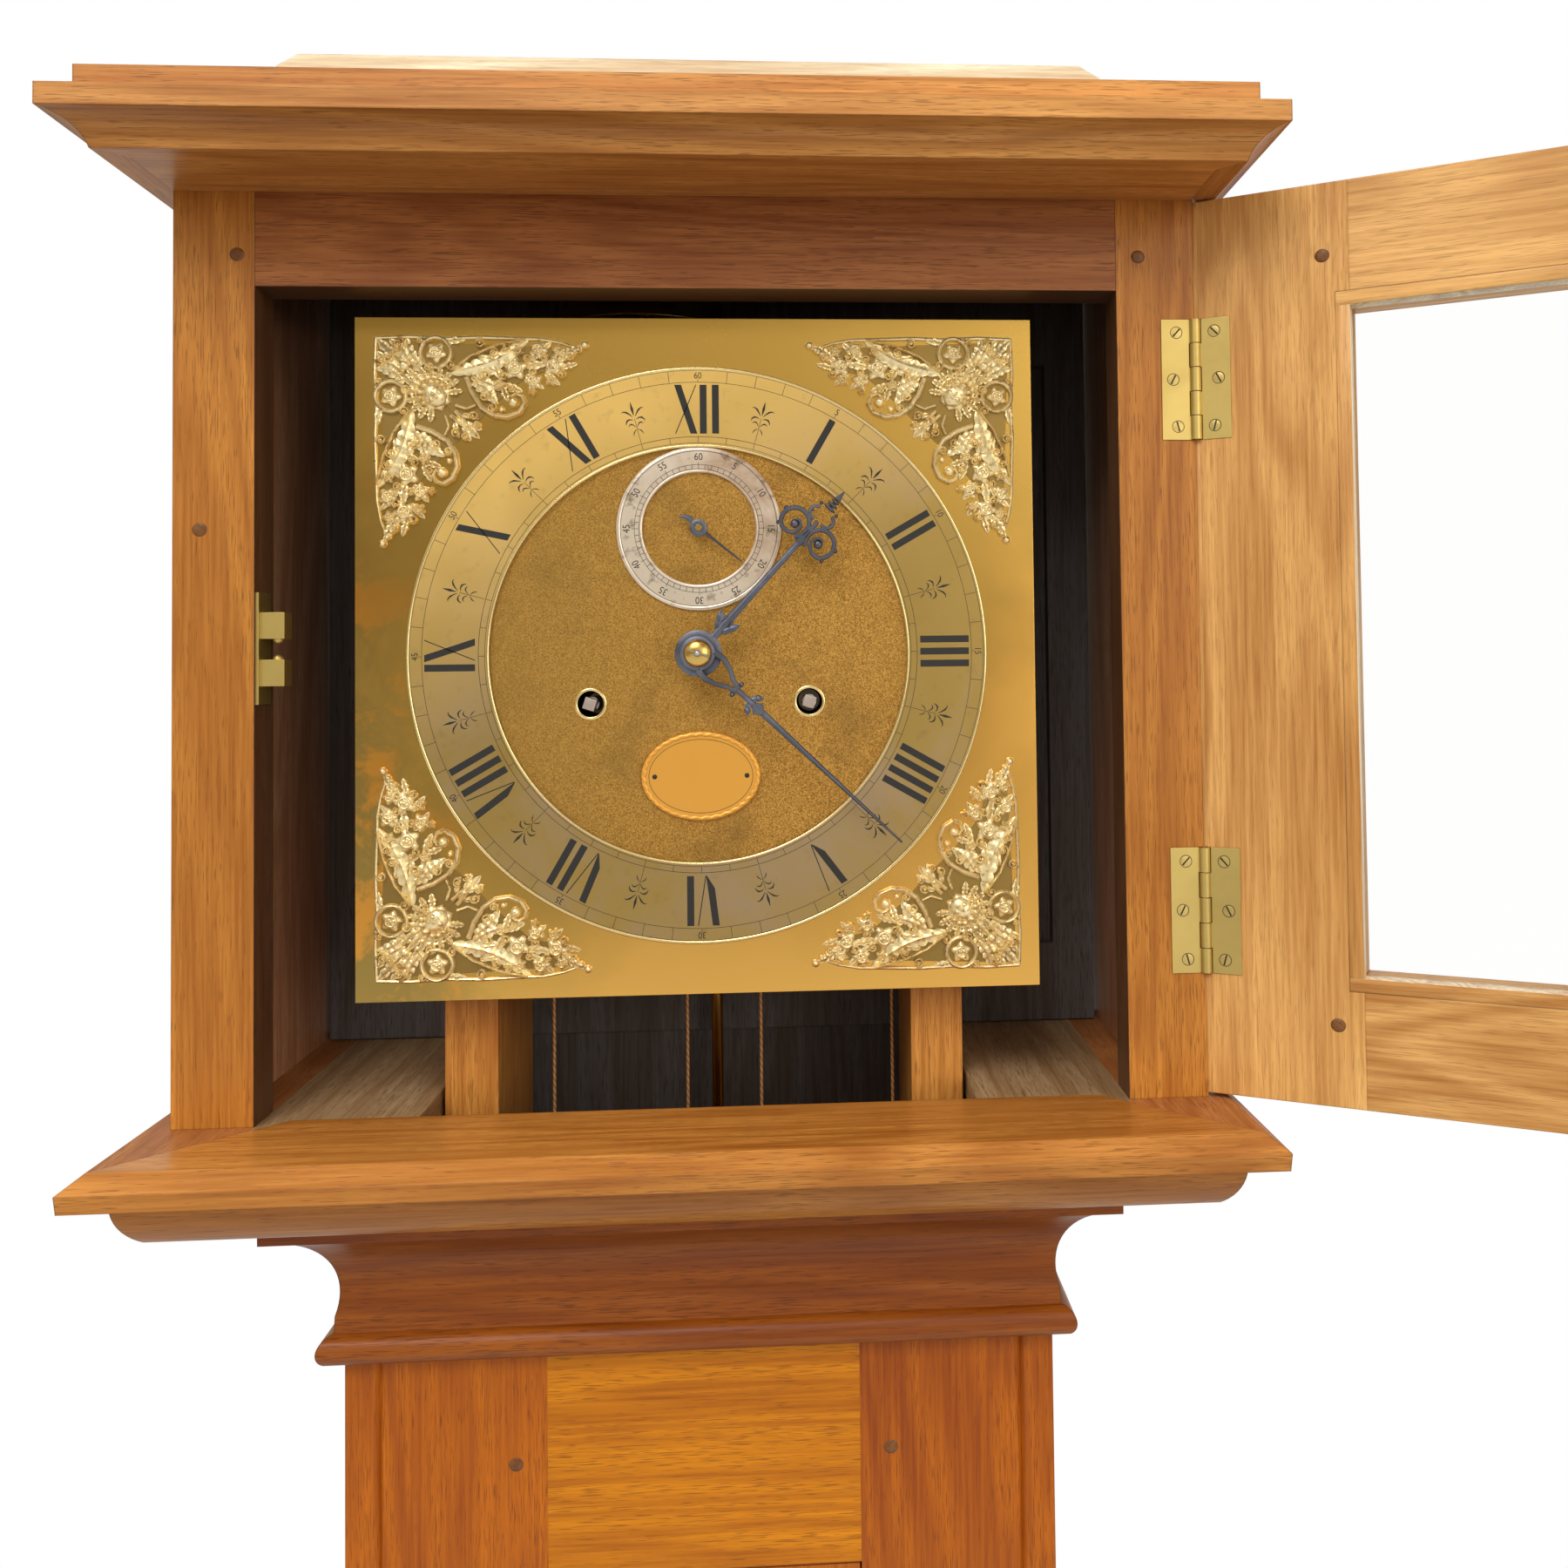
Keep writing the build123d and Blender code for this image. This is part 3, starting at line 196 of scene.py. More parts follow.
def oak(name, axis, seed, tone, switch=None, below=None, gloss=0.36, pore=0.5):
    n = Material(name)
    color, pores, fibre, blotch = oak_color(n, axis, seed, tone, pore)
    if switch:
        # Another grain and tone nearer to the middle plane than a distance, or on the side or back faces
        where, other, tone2 = switch
        if isinstance(where, str):
            facing = n.split(n.add("ShaderNodeNewGeometry").outputs["Normal"])
            facing = facing[1] if where == "back" else n.math("ABSOLUTE", facing[0])
            inside = n.math("GREATER_THAN", facing, FACING)
        else:
            inside = n.math("LESS_THAN", n.math("ABSOLUTE", n.split()[0]), where)
        color2, pores2 = oak_color(n, other, seed + 11, tone2, pore)[:2]
        color = n.mix(inside, color, color2)
        pores = n.mix(inside, pores, pores2)
    if below:
        # A dark tone on what lies lower than a height, such as an edge in deep shade
        height, tone2 = below
        color = n.mix(n.math("LESS_THAN", n.split()[2], height), color, tone2)
    wear = n.cloud(3, 4.0, location=(seed, 0, 0))
    color = n.mix(n.math("MULTIPLY", wear, 0.30), color, n.mix(1.0, color, (1.0, 0.80, 0.60), "MULTIPLY"))
    scuff = n.rise(n.cloud(60, 5.0, 0.7, location=(seed, 2, 0)), 0.70, 0.76)
    rough = n.math("ADD", n.math("MULTIPLY", blotch, 0.16), gloss - 0.05)
    rough = n.math("ADD", rough, n.math("MULTIPLY", scuff, 0.2))
    height = n.math("SUBTRACT", n.math("MULTIPLY", fibre, 0.25), pores)
    normal = n.bump(height, 0.25, 0.0002, n.bevel(0.0009))
    return n.finish(color, rough, normal, Coat_Weight=0.08, Coat_Roughness=0.2, Specular_IOR_Level=0.26)


# Metals and glass
def brass(name, base=(0.62, 0.42, 0.12), rough=0.22, tarnish=0.25, edge=0.0003, brush=None, metal=1.0):
    n = Material(name)
    cloud = n.cloud(14, 4.0, distort=0.4)
    dark = tuple(c * f for c, f in zip(base, (0.55, 0.50, 0.42)))
    color = n.mix(n.rise(cloud, 0.38, 0.68, tarnish), base, dark)
    roughness = n.math("ADD", n.math("MULTIPLY", cloud, 0.22), rough - 0.08)
    height = n.noise(n.mapping(brush or (300, 300, 300)), 1.0, 2.0, 0.6)
    return n.finish(color, roughness, n.bump(height, 0.08, 0.0002, n.bevel(edge)), metal)


def brass_with_painted_reflections(n, u, v, cloud, patch):
    # Painted reflections: the lower right of the plate is painted bright orange, the left edge is painted
    # darker with amber patches of painted reflection
    color = n.mix(n.math("MULTIPLY", cloud, 0.7), (0.74, 0.46, 0.11), (0.50, 0.30, 0.06))
    side = n.math("MULTIPLY_ADD", v, -1.3, u)
    side = n.math("ADD", side, n.math("MULTIPLY_ADD", cloud, 0.16, -0.08))
    color = n.mix(n.rise(n.math("MULTIPLY", side, 4.0), 0.24, 0.62), color, (0.94, 0.53, 0.12))
    dark = n.math("MULTIPLY_ADD", u, -1.0, n.math("MULTIPLY", v, -0.25))
    dark = n.math("ADD", dark, n.math("MULTIPLY_ADD", patch, 0.12, -0.06))
    amber_reflection = n.mix(n.rise(patch, 0.50, 0.58), (0.36, 0.25, 0.07), (0.80, 0.36, 0.06))
    return n.mix(n.rise(n.math("MULTIPLY", dark, 5.0), 0.62, 0.82, 0.85), color, amber_reflection)


def matted_brass():
    # Polished plate with painted reflections outside the chapter ring, granular matting inside it
    n = Material("dial_brass")
    u, _, v = n.split(n.mapping((1, 1, 1), location=(0, 0, -DZ)))
    radius = n.math("SQRT", n.math("ADD", n.math("POWER", u, 2.0), n.math("POWER", v, 2.0)))
    inside = n.ramp(radius, [(MATT_R, 1.0), (MATT_R + 0.0010, 0.0)])
    grain = n.rise(n.cloud(1900, 3.0, 0.7), 0.34, 0.66)
    cloud = n.cloud(9, 5.0, distort=0.5)
    patch = n.cloud(26, 5.0, 0.65, 0.3, (3, 1, 7))
    matt = n.mix(grain, (0.24, 0.105, 0.018), (0.86, 0.52, 0.13))
    matt = n.mix(n.rise(patch, 0.50, 0.75, 0.55), matt, (0.20, 0.12, 0.04))
    # Painted shade: the matting is darker and more olive towards the left
    left = n.math("MULTIPLY_ADD", u, -5.0, 0.5)
    matt = n.mix(n.rise(left, 0.3, 1.0, 0.5), matt, (0.34, 0.22, 0.055))
    color = n.mix(inside, brass_with_painted_reflections(n, u, v, cloud, patch), matt)
    rough = n.math("MULTIPLY_ADD", cloud, 0.18, 0.16)
    rough = n.mix(inside, rough, n.math("MULTIPLY_ADD", grain, 0.25, 0.40))
    wave = n.bump(n.cloud(5, 1.0, 0.5), 0.25, 0.01, n.bevel(0.0004))
    return n.finish(color, rough, n.bump(n.math("MULTIPLY", grain, inside), 0.7, 0.00035, wave), 1.0)


def silvered(name, light, dark, wear, rough, rise=None):
    n = Material(name)
    cloud = n.cloud(17, 5.0, 0.62, 0.6, (1, 2, 3))
    spots = n.cloud(160, 4.0)
    color = n.mix(n.rise(cloud, 0.42, 0.66), light, dark)
    if rise:
        # Brassier and brighter towards the top and the left
        u, _, v = n.split(n.mapping((1, 1, 1), location=(0, 0, -DZ)))
        place = n.math("MULTIPLY_ADD", n.math("MULTIPLY_ADD", u, -0.5, v), 4.0, 0.5)
        color = n.mix(n.rise(place, 0.55, 1.0), color, rise)
    color = n.mix(n.rise(spots, 0.58, 0.74, wear), color, (0.16, 0.11, 0.05))
    normal = n.bump(spots, 0.12, 0.0002, n.bevel(0.0004))
    return n.finish(color, n.math("MULTIPLY_ADD", cloud, 0.25, rough), normal, 0.85)


def steel(name, base, rough, spot=0.35):
    n = Material(name)
    cloud = n.cloud(60, 5.0, 0.65)
    pale = tuple(min(1.0, c * 2.1 + 0.05) for c in base)
    color = n.mix(n.rise(cloud, 0.45, 0.72, spot), base, pale)
    normal = n.bump(n.cloud(500, 3.0), 0.25, 0.0002, n.bevel(0.0002))
    return n.finish(color, n.math("MULTIPLY_ADD", cloud, 0.3, rough - 0.1), normal, 0.9)


def gilt():
    n = Material("gilt_casting")
    pits = n.cloud(420, 3.0)
    color = n.mix(n.rise(n.cloud(40, 3.0), 0.35, 0.7), (0.92, 0.77, 0.44), (0.78, 0.60, 0.29))
    color = n.mix(n.ramp(pits, [(0.30, 0.8), (0.44, 0.0)]), color, (0.34, 0.21, 0.06))
    return n.finish(color, n.math("MULTIPLY_ADD", pits, 0.25, 0.24), n.bump(pits, 0.35, 0.0006), 0.8)


def wax():
    n = Material("black_wax")
    speck = n.cloud(700, 3.0)
    color = n.mix(speck, (0.004, 0.004, 0.004), (0.022, 0.019, 0.015))
    return n.finish(color, n.math("MULTIPLY_ADD", speck, 0.3, 0.45), n.bump(speck, 0.2, 0.0002))


def glass():
    n = Material("door_glass")
    wave = n.cloud(7, 1.0, 0.5)
    tint = n.mix(wave, (1.0, 1.0, 0.995), (0.99, 0.995, 0.985))
    return n.finish(tint, 0.0, n.bump(wave, 0.02, 0.002), IOR=1.25, Transmission_Weight=1.0)


def cast_iron():
    n = Material("weight_iron")
    pits = n.cloud(180, 5.0, 0.65)
    color = n.mix(pits, (0.012, 0.012, 0.013), (0.05, 0.048, 0.045))
    normal = n.bump(pits, 0.5, 0.001, n.bevel(0.001))
    return n.finish(color, n.math("MULTIPLY_ADD", pits, 0.3, 0.4), normal, 0.3)


def twisted_line():
    n = Material("twisted_line")
    x, _, z = n.split()
    turn = n.math("ADD", n.math("MULTIPLY", z, 1900.0), n.math("MULTIPLY", x, 3200.0))
    turn = n.math("MULTIPLY_ADD", n.math("SINE", turn), 0.5, 0.5)
    color = n.mix(turn, (0.36, 0.16, 0.06), (0.66, 0.34, 0.12))
    return n.finish(color, 0.45, n.bump(turn, 0.3, 0.0004), 0.4)


OAK_RAIL = oak("oak_door_rail", "door", 3.9, (0.70, 0.375, 0.11), pore=0.26)
OAK_STILE = oak("oak_door_stile", "z", 6.3, (0.69, 0.36, 0.10), pore=0.26)
OAK_BEAD = oak("oak_bead", "z", 12.0, (0.86, 0.66, 0.40), gloss=0.5, pore=0.0)
OAK_PEG = oak("peg_end", "y", 21.0, (0.20, 0.08, 0.02))
BRASS = brass("plain_brass")
BRASS_HINGE = brass("hinge_brass", base=(0.66, 0.50, 0.17), rough=0.42, tarnish=0.5, brush=(900, 900, 30))
SECONDS = silvered("seconds_silver", (0.92, 0.80, 0.66), (0.52, 0.36, 0.25), 0.8, 0.22)
PALE_GOLD = brass("pale_gold", base=(0.92, 0.72, 0.34), rough=0.2, tarnish=0.2)
ORANGE_GOLD = brass("orange_gold", base=(0.90, 0.44, 0.07), rough=0.30, metal=0.45)
# Painted shade for the gaps in the cast corners
SHADE_SHEET_BRASS = brass("casting_painted_shade", base=(0.36, 0.235, 0.07), rough=0.4, tarnish=0.5)
GILT = gilt()
WAX = wax()
BLUED = steel("blued_steel", (0.105, 0.11, 0.14), 0.38, spot=0.5)
STEEL = steel("bright_steel", (0.42, 0.41, 0.40), 0.35)


def paint(material, *names):
    for name in names:
        obj = NODES[name]
        if not obj.material_slots:
            obj.data.materials.append(material)
        for slot in obj.material_slots:
            slot.material = material


def paint_case():
    # Painted shade: the top board is painted dark grey between the hood's sides, where it roofs the inside of
    # the hood
    wood = oak("oak_roof", "x", 31.3, (0.56, 0.25, 0.056), switch=(0.186, "x", (0.10, 0.09, 0.08)))
    paint(wood, "hood_top_board")
    paint(oak("oak_x", "x", 1.3, (0.62, 0.28, 0.064)), "hood_cornice_front")
    paint(oak("oak_y", "y", 4.1, (0.54, 0.235, 0.05)), "hood_cornice_sides")
    paint(oak("oak_pale", "x", 12.0, (0.92, 0.74, 0.48), gloss=0.5, pore=0.2), "hood_top_cap")
    wood = oak("oak_side", "z", 2.6, (0.43, 0.16, 0.036), switch=(0.2045, "z", (0.46, 0.22, 0.10)))
    paint(wood, "hood_sides")
    wood = oak("oak_top_rail", "x", 7.7, (0.36, 0.125, 0.028), below=(1.8005, (0.10, 0.045, 0.02)))
    paint(wood, "hood_top_rail")
    # Painted shade: the stiles' inner faces by the opening take a dark tone
    wood = oak("oak_stile", "z", 9.2, (0.50, 0.195, 0.026), switch=(0.1881, "z", (0.12, 0.055, 0.022)))
    paint(wood, "hood_stiles")
    paint(oak("oak_sill", "x", 15.3, (0.50, 0.20, 0.034), gloss=0.26), "hood_sill_front", "seatboard")
    edge = (0.188, "y", (0.36, 0.225, 0.10))
    paint(oak("oak_ledge", "y", 14.0, (0.40, 0.15, 0.036), switch=edge, gloss=0.5), "hood_sill_sides")
    paint(OAK_STILE, "door_stile_hinge", "door_stile_latch")
    paint(OAK_RAIL, "door_rails")
    paint(oak("oak_cheek", "z", 22.6, (0.60, 0.25, 0.045)), "cheeks")
    # Painted shade: the back frame and backboard are near black grey where they face into the case; their
    # back faces keep the oak tone
    outer = ("back", "z", (0.30, 0.13, 0.04))
    paint(oak("oak_back", "z", 8.4, (0.12, 0.105, 0.09), switch=outer, gloss=0.6), "back_frame", "backboard")
    throat = (0.31, 0.082, 0.006)
    paint(oak("oak_throat", "x", 17.1, throat), "throat_moulding_front")
    paint(oak("oak_throat_side", "y", 18.1, throat), "throat_moulding_sides")
    paint(oak("oak_trunk_side", "z", 5.2, (0.44, 0.112, 0.004)), "trunk_sides")
    wood = oak("oak_trunk", "z", 5.2, (0.45, 0.115, 0.004), switch=(0.068, "x", (0.58, 0.195, 0.004)))
    paint(wood, "trunk_front_frame")
    paint(oak("oak_base", "z", 41.4, (0.47, 0.13, 0.008)), "base_panels", "trunk_door")
    trim = (0.45, 0.13, 0.008)
    wood = oak("oak_base_trim", "x", 43.4, trim, switch=("side", "y", trim))
    paint(wood, "base_moulding", "skirting", "base_floor")


def paint_metal():
    paint(glass(), "door_glass")
    paint(BRASS_HINGE, "hood_hinge_leaves", "door_hinge_leaves", "ball_catch", "catch_tongue")
    paint(BRASS_HINGE, "trunk_hinge_leaves", "trunk_door_leaves")
    # Painted shade: the plates and pillars are painted near black so that the winding holes look dark inside
    shaded_plate_brass = brass("plate_brass_painted_shade", base=(0.055, 0.036, 0.014), rough=0.5, tarnish=0.6)
    paint(shaded_plate_brass, "plate_front", "plate_back", "plate_pillars")
    paint(BRASS, "hour_wheel", "motion_wheel", "going_great_wheel", "third_wheel", "centre_wheel")
    paint(BRASS, "escape_wheel", "going_pulley", "strike_pulley", "strike_bell")
    paint(steel("square_steel", (0.62, 0.52, 0.46), 0.3), "going_barrel", "strike_barrel")
    paint(brass("bob_brass", rough=0.16, tarnish=0.15, edge=0.001), "pendulum")
    paint(ORANGE_GOLD, "oval_plate")
    paint(matted_brass(), "dial_plate")
    silver = (0.44, 0.295, 0.085), (0.41, 0.29, 0.16)
    paint(silvered("chapter_silver", *silver, 0.18, 0.26, rise=(0.84, 0.56, 0.17)), "chapter_ring")
    paint(SECONDS, "seconds_ring")
    paint(STEEL, "pallets")
    paint(cast_iron(), "going_weight", "strike_weight")
    paint(twisted_line(), "going_line", "strike_line")


paint_case()
paint_metal()


# Shapes on a face that looks to the front
ROUND_TOP = [(-0.5, 0.0), (-0.5, 0.45), (-0.32, 0.82), (0.0, 1.0), (0.32, 0.82), (0.5, 0.45), (0.5, 0.0)]
FLAT_TOP = [(-0.5, 0.0), (-0.5, 0.75), (-0.38, 1.0), (0.38, 1.0), (0.5, 0.75), (0.5, 0.0)]


def left_of(a, b):
    # The unit vector to the left of the way from a to b
    du, dv = b[0] - a[0], b[1] - a[1]
    size = math.hypot(du, dv) or 1.0
    return -dv / size, du / size


def circle(radius, count, cu=0.0, cv=0.0):
    turns = [2 * math.pi * k / count for k in range(count)]
    return [(cu + radius * math.cos(a), cv + radius * math.sin(a)) for a in turns]


def spiral(cu, cv, r0, r1, a0, turns, steps):
    # Angles in degrees, anticlockwise from the right
    points = []
    for k in range(steps + 1):
        t = k / steps
        a = math.radians(a0 + 360 * turns * t)
        r = r0 + (r1 - r0) * t
        points.append((cu + r * math.cos(a), cv + r * math.sin(a)))
    return points


def taper(count, start, middle, end):
    out = []
    for k in range(count):
        t = k / (count - 1)
        out.append(start + (middle - start) * t * 2 if t < 0.5 else middle + (end - middle) * (t - 0.5) * 2)
    return out


class Relief:
    # Points are (u to the right, v up, h out of the face) in mm about a centre, turned clockwise by angle
    def __init__(self, name, centre, y, angle=0.0):
        self.name, self.centre, self.y = name, centre, y
        self.cos, self.sin = math.cos(angle), math.sin(angle)
        self.verts, self.faces = [], []
        self.sign = (1, 1)
        self.swap = False

    def point(self, u, v, h):
        if self.swap:
            u, v = v, u
        u, v = u * self.sign[0], v * self.sign[1]
        x = self.centre[0] + MM * (self.cos * u + self.sin * v)
        z = self.centre[1] + MM * (self.cos * v - self.sin * u)
        self.verts.append((x, self.y - MM * h, z))
        return len(self.verts) - 1

    def face(self, ids):
        odd = (self.sign[0] * self.sign[1] < 0) != self.swap
        self.faces.append(list(reversed(ids)) if odd else list(ids))

    def band(self, a, b):
        # Faces between two closed rings of points
        for k in range(len(a)):
            j = (k + 1) % len(a)
            self.face([a[k], a[j], b[j], b[k]])

    def prism(self, loop, low, high, chamfer=0.15):
        # A convex or simple flat plate with a small chamfer at its face
        area = sum(a[0] * b[1] - b[0] * a[1] for a, b in zip(loop, loop[1:] + loop[:1]))
        if area < 0:
            loop = loop[::-1]
        count = len(loop)
        rings = []
        for inset, h in ((0, low), (0, high - chamfer), (chamfer, high)):
            ring = []
            for k, (u, v) in enumerate(loop):
                nu, nv = left_of(loop[k - 1], loop[(k + 1) % count])
                ring.append(self.point(u + nu * inset, v + nv * inset, h))
            rings.append(ring)
        self.band(rings[0], rings[1])
        self.band(rings[1], rings[2])
        self.face(rings[2])
        self.face(rings[0][::-1])

    def strip(self, points, widths, low, high, section=ROUND_TOP, closed=False):
        # A ridge along a line, with one width or a width for each point
        count = len(points)
        rings = []
        for k, (u, v) in enumerate(points):
            if closed:
                a, b = points[k - 1], points[(k + 1) % count]
            else:
                a, b = points[max(k - 1, 0)], points[min(k + 1, count - 1)]
            width = widths if isinstance(widths, (int, float)) else widths[k]
            nu, nv = (n * width for n in left_of(a, b))
            rings.append([self.point(u - nu * s, v - nv * s, low + (high - low) * t) for s, t in section])
        for a, b in zip(rings, rings[1:] + (rings[:1] if closed else [])):
            self.band(b, a)
        if not closed:
            self.face(rings[0])
            self.face(rings[-1][::-1])

    def line(self, points, widths, high=0.04, closed=False):
        # A flat line of wax
        self.strip(points, widths, -0.02, high, FLAT_TOP, closed)

    def dome(self, u, v, ru, rv, low, high, turn=0.0, petals=0, depth=0.0, segments=16, rings=5):
        ct, st = math.cos(turn), math.sin(turn)
        loops = []
        for r in range(rings):
            t = r / rings * math.pi / 2
            loop = []
            for k in range(segments):
                a = 2 * math.pi * k / segments
                wave = math.cos(petals * a)
                size = (1 + depth * wave) * math.cos(t)
                pu, pv = ru * size * math.cos(a), rv * size * math.sin(a)
                h = low + (high - low) * math.sin(t) * (1 - 0.35 * depth * (1 - wave))
                loop.append(self.point(u + ct * pu - st * pv, v + st * pu + ct * pv, h))
            loops.append(loop)
        top = self.point(u, v, high)
        for a, b in zip(loops, loops[1:]):
            self.band(a, b)
        for k in range(segments):
            self.face([loops[-1][k], loops[-1][(k + 1) % segments], top])
        self.face(loops[0][::-1])

    def leaf(self, base, tip, width, high, lobes=4, bend=0.0, low=0.0):
        # A lobed leaf with a raised middle rib and walls down to the plate
        du, dv = tip[0] - base[0], tip[1] - base[1]
        size = math.hypot(du, dv)
        du, dv = du / size, dv / size
        steps = lobes * 4
        rows = []
        for k in range(steps + 1):
            t = k / steps
            wave = abs(math.sin(math.pi * t * lobes))
            half = width / 2 * math.sin(math.pi * min(1.0, t * 0.90 + 0.09)) ** 0.7 * (0.70 + 0.30 * wave)
            side = bend * math.sin(math.pi * t)
            cu, cv = base[0] + du * size * t - dv * side, base[1] + dv * size * t + du * side
            rise = low + (high - low) * (0.45 + 0.55 * math.sin(math.pi * min(1.0, t + 0.1)))
            rim = low + (rise - low) * (0.45 + 0.35 * wave)
            row = [(1.0, low), (1.0, rim * 0.9), (0.45, rim * 0.62 + rise * 0.2), (0.0, rise)]
            row += [(-a, h) for a, h in reversed(row[:-1])]
            rows.append([self.point(cu - dv * half * a, cv + du * half * a, h) for a, h in row])
        for a, b in zip(rows, rows[1:]):
            self.band(a, b)
        self.face(rows[0][::-1])
        self.face(rows[-1])

    def leaves(self, rows):
        for row in rows:
            self.leaf(*row)

    def curl(self, u, v, r, start, turns, high):
        self.strip(spiral(u, v, r, r * 0.30, start, turns, 16), taper(17, 1.0, 1.25, 1.0), 0.0, high)
        self.dome(u, v, r * 0.36, r * 0.36, 0.0, high + 0.4, segments=10, rings=4)

    def rose(self, u, v, r, high):
        self.dome(u, v, r, r, 0.0, high, petals=5, depth=0.20, segments=30, turn=u)
        self.strip(circle(r * 0.52, 16, u, v), r * 0.26, high * 0.8, high + 0.35, closed=True)
        self.dome(u, v, r * 0.34, r * 0.34, 0.0, high + 0.6, segments=10)

    def swing_back(self):
        # The same shapes on the back of the open door: mirrored in their plane, then swung
        for k, (x, y, z) in enumerate(self.verts):
            self.verts[k] = tuple(SWING @ Vector((x, 2 * self.y - y, z)))
        self.faces = [face[::-1] for face in self.faces]

    def build(self, material, body, smooth=True):
        mesh = bpy.data.meshes.new(self.name)
        mesh.from_pydata(self.verts, [], self.faces)
        mesh.materials.append(material)
        mesh.validate()
        if smooth:
            mesh.shade_smooth()
            mesh.set_sharp_from_angle(angle=math.radians(38))
        mesh.update()
        obj = add_object(self.name, mesh)
        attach(obj, body)
        return obj


# Chapter ring; radii in mm, with the numerals between LOW_R and HIGH_R
LOW_R, HIGH_R = 99.6, 121.8
HALF_R = 109.0
MINUTES_IN, MINUTES_OUT = 123.0, 128.4
QUARTERS_IN, QUARTERS_OUT = 95.4, 98.2
SECONDS_IN, SECONDS_OUT = 27.0, 29.0
WAX_H = 0.06


def polar(angle, radius, across):
    # Clockwise angle from the top; across is to the right when the mark is read upright
    s, c = math.sin(angle), math.cos(angle)
    return (s * radius + c * across, c * radius - s * across)


def mark(relief, angle, r0, a0, r1, a1, width, width0=None):
    # A straight stroke between two places; its ends follow the ring
    outer, inner = width / 2, (width if width0 is None else width0) / 2
    loop = [polar(angle, r0, a0 - inner), polar(angle, r0, a0 + inner)]
    loop += [polar(angle, r1, a1 + outer), polar(angle, r1, a1 - outer)]
    relief.prism(loop, -0.02, WAX_H, 0.01)


def marks(relief, count, r0, r1, r5, width):
    # Equal strokes all round; each fifth ends at its own radius
    for k in range(count):
        mark(relief, 2 * math.pi * k / count, r0, 0, r1 if k % 5 else r5, 0, width)


def numeral(relief, angle, text):
    widths = {"I": 5.5, "V": 10.0, "X": 10.2}
    place = -sum(widths[c] for c in text) / 2
    thick, thin = 3.1, 0.45
    foot = LOW_R + 5.5
    for c in text:
        mid = place + widths[c] / 2
        if c == "I":
            mark(relief, angle, LOW_R, mid, HIGH_R, mid, thick)
        elif c == "V":
            mark(relief, angle, foot, mid - 1.5, HIGH_R, mid - 3.6, thick)
            mark(relief, angle, LOW_R, mid + 0.6, foot, mid - 1.5, thick, 0.4)
            mark(relief, angle, LOW_R, mid + 0.9, HIGH_R, mid + 4.4, thin)
        else:
            mark(relief, angle, LOW_R, mid + 3.6, HIGH_R, mid - 3.6, thick)
            mark(relief, angle, LOW_R, mid - 4.6, HIGH_R, mid + 4.6, thin)
        place += widths[c]


def half_hour(relief, angle):
    # Separate leaf-shaped strokes on a hairline stem
    def stroke(points, width):
        widths = taper(len(points), 0.2, width * 0.8, 0.15)
        placed = [polar(angle, HALF_R + (r - HALF_R) * 0.86, a * 0.86) for a, r in points]
        relief.line(placed, widths, WAX_H)
    relief.line([polar(angle, r, 0) for r in (98.6, 104.0, 110.2)], 0.2, WAX_H)
    stroke([(0, 112.0), (0, 113.6), (0, 115.4), (0, 117.4), (0, 119.2)], 1.5)
    for side in (-1, 1):
        for curl, width in (
            ([(0.7, 111.4), (1.9, 113.0), (3.2, 114.4), (4.8, 115.2), (6.0, 114.8)], 1.0),
            ([(0.9, 109.8), (2.4, 110.4), (3.8, 110.2), (4.8, 109.0), (5.0, 107.8)], 1.0),
            ([(0.4, 105.8), (1.4, 107.2), (2.4, 107.8), (3.4, 107.6), (4.0, 106.8)], 0.8),
            ([(0.4, 104.6), (1.3, 104.0), (2.0, 103.2), (2.4, 102.4), (2.5, 101.6)], 0.6),
        ):
            stroke([(side * a, r) for a, r in curl], width)


def build_chapter():
    relief = Relief("chapter_numerals", (0.0, DZ), RING_Y)
    names = ["XII", "I", "II", "III", "IIII", "V", "VI", "VII", "VIII", "IX", "X", "XI"]
    for k, text in enumerate(names):
        numeral(relief, math.radians(30 * k), text)
        half_hour(relief, math.radians(30 * k + 15))
    relief.build(WAX, "case", smooth=False)
    lines = Relief("chapter_lines", (0.0, DZ), RING_Y)
    for radius, width in ((MINUTES_IN, 0.20), (MINUTES_OUT, 0.16), (QUARTERS_OUT, 0.22), (QUARTERS_IN, 0.18)):
        lines.line(circle(radius, 144), width, closed=True)
    marks(lines, 60, MINUTES_IN, MINUTES_OUT, 124.4, 0.20)
    marks(lines, 48, QUARTERS_IN, QUARTERS_OUT, QUARTERS_OUT, 0.20)
    lines.build(WAX, "case", smooth=False)
    seconds = Relief("seconds_lines", (0.0, SEC_Z), SMALL_Y)
    marks(seconds, 60, SECONDS_IN, SECONDS_OUT, 30.0, 0.22)
    for radius in (SECONDS_IN, SECONDS_OUT, 35.2):
        seconds.line(circle(radius, 72), 0.2, closed=True)
    seconds.build(WAX, "case", smooth=False)


def build_rims():
    # Turned edges of the two rings
    for name, centre, y, rims, material in (
        ("ring_edges", DZ, RING_Y, ((129.3, 144, 1.2), (94.2, 144, 1.0)), PALE_GOLD),
        ("seconds_edges", SEC_Z, SMALL_Y, ((35.9, 72, 1.1), (26.2, 72, 1.0)), SECONDS),
    ):
        edges = Relief(name, (0.0, centre), y)
        for radius, count, width in rims:
            edges.strip(circle(radius, count), width, -0.1, 0.30, closed=True)
        edges.build(material, "case")


def build_winding_rims():
    holes = Relief("winding_rims", (0.0, DZ), DY)
    for side in (-1, 1):
        holes.strip(circle(6.5, 40, side * 49.0, -22.0), 1.3, -0.1, 0.35, closed=True)
    holes.build(PALE_GOLD, "case")


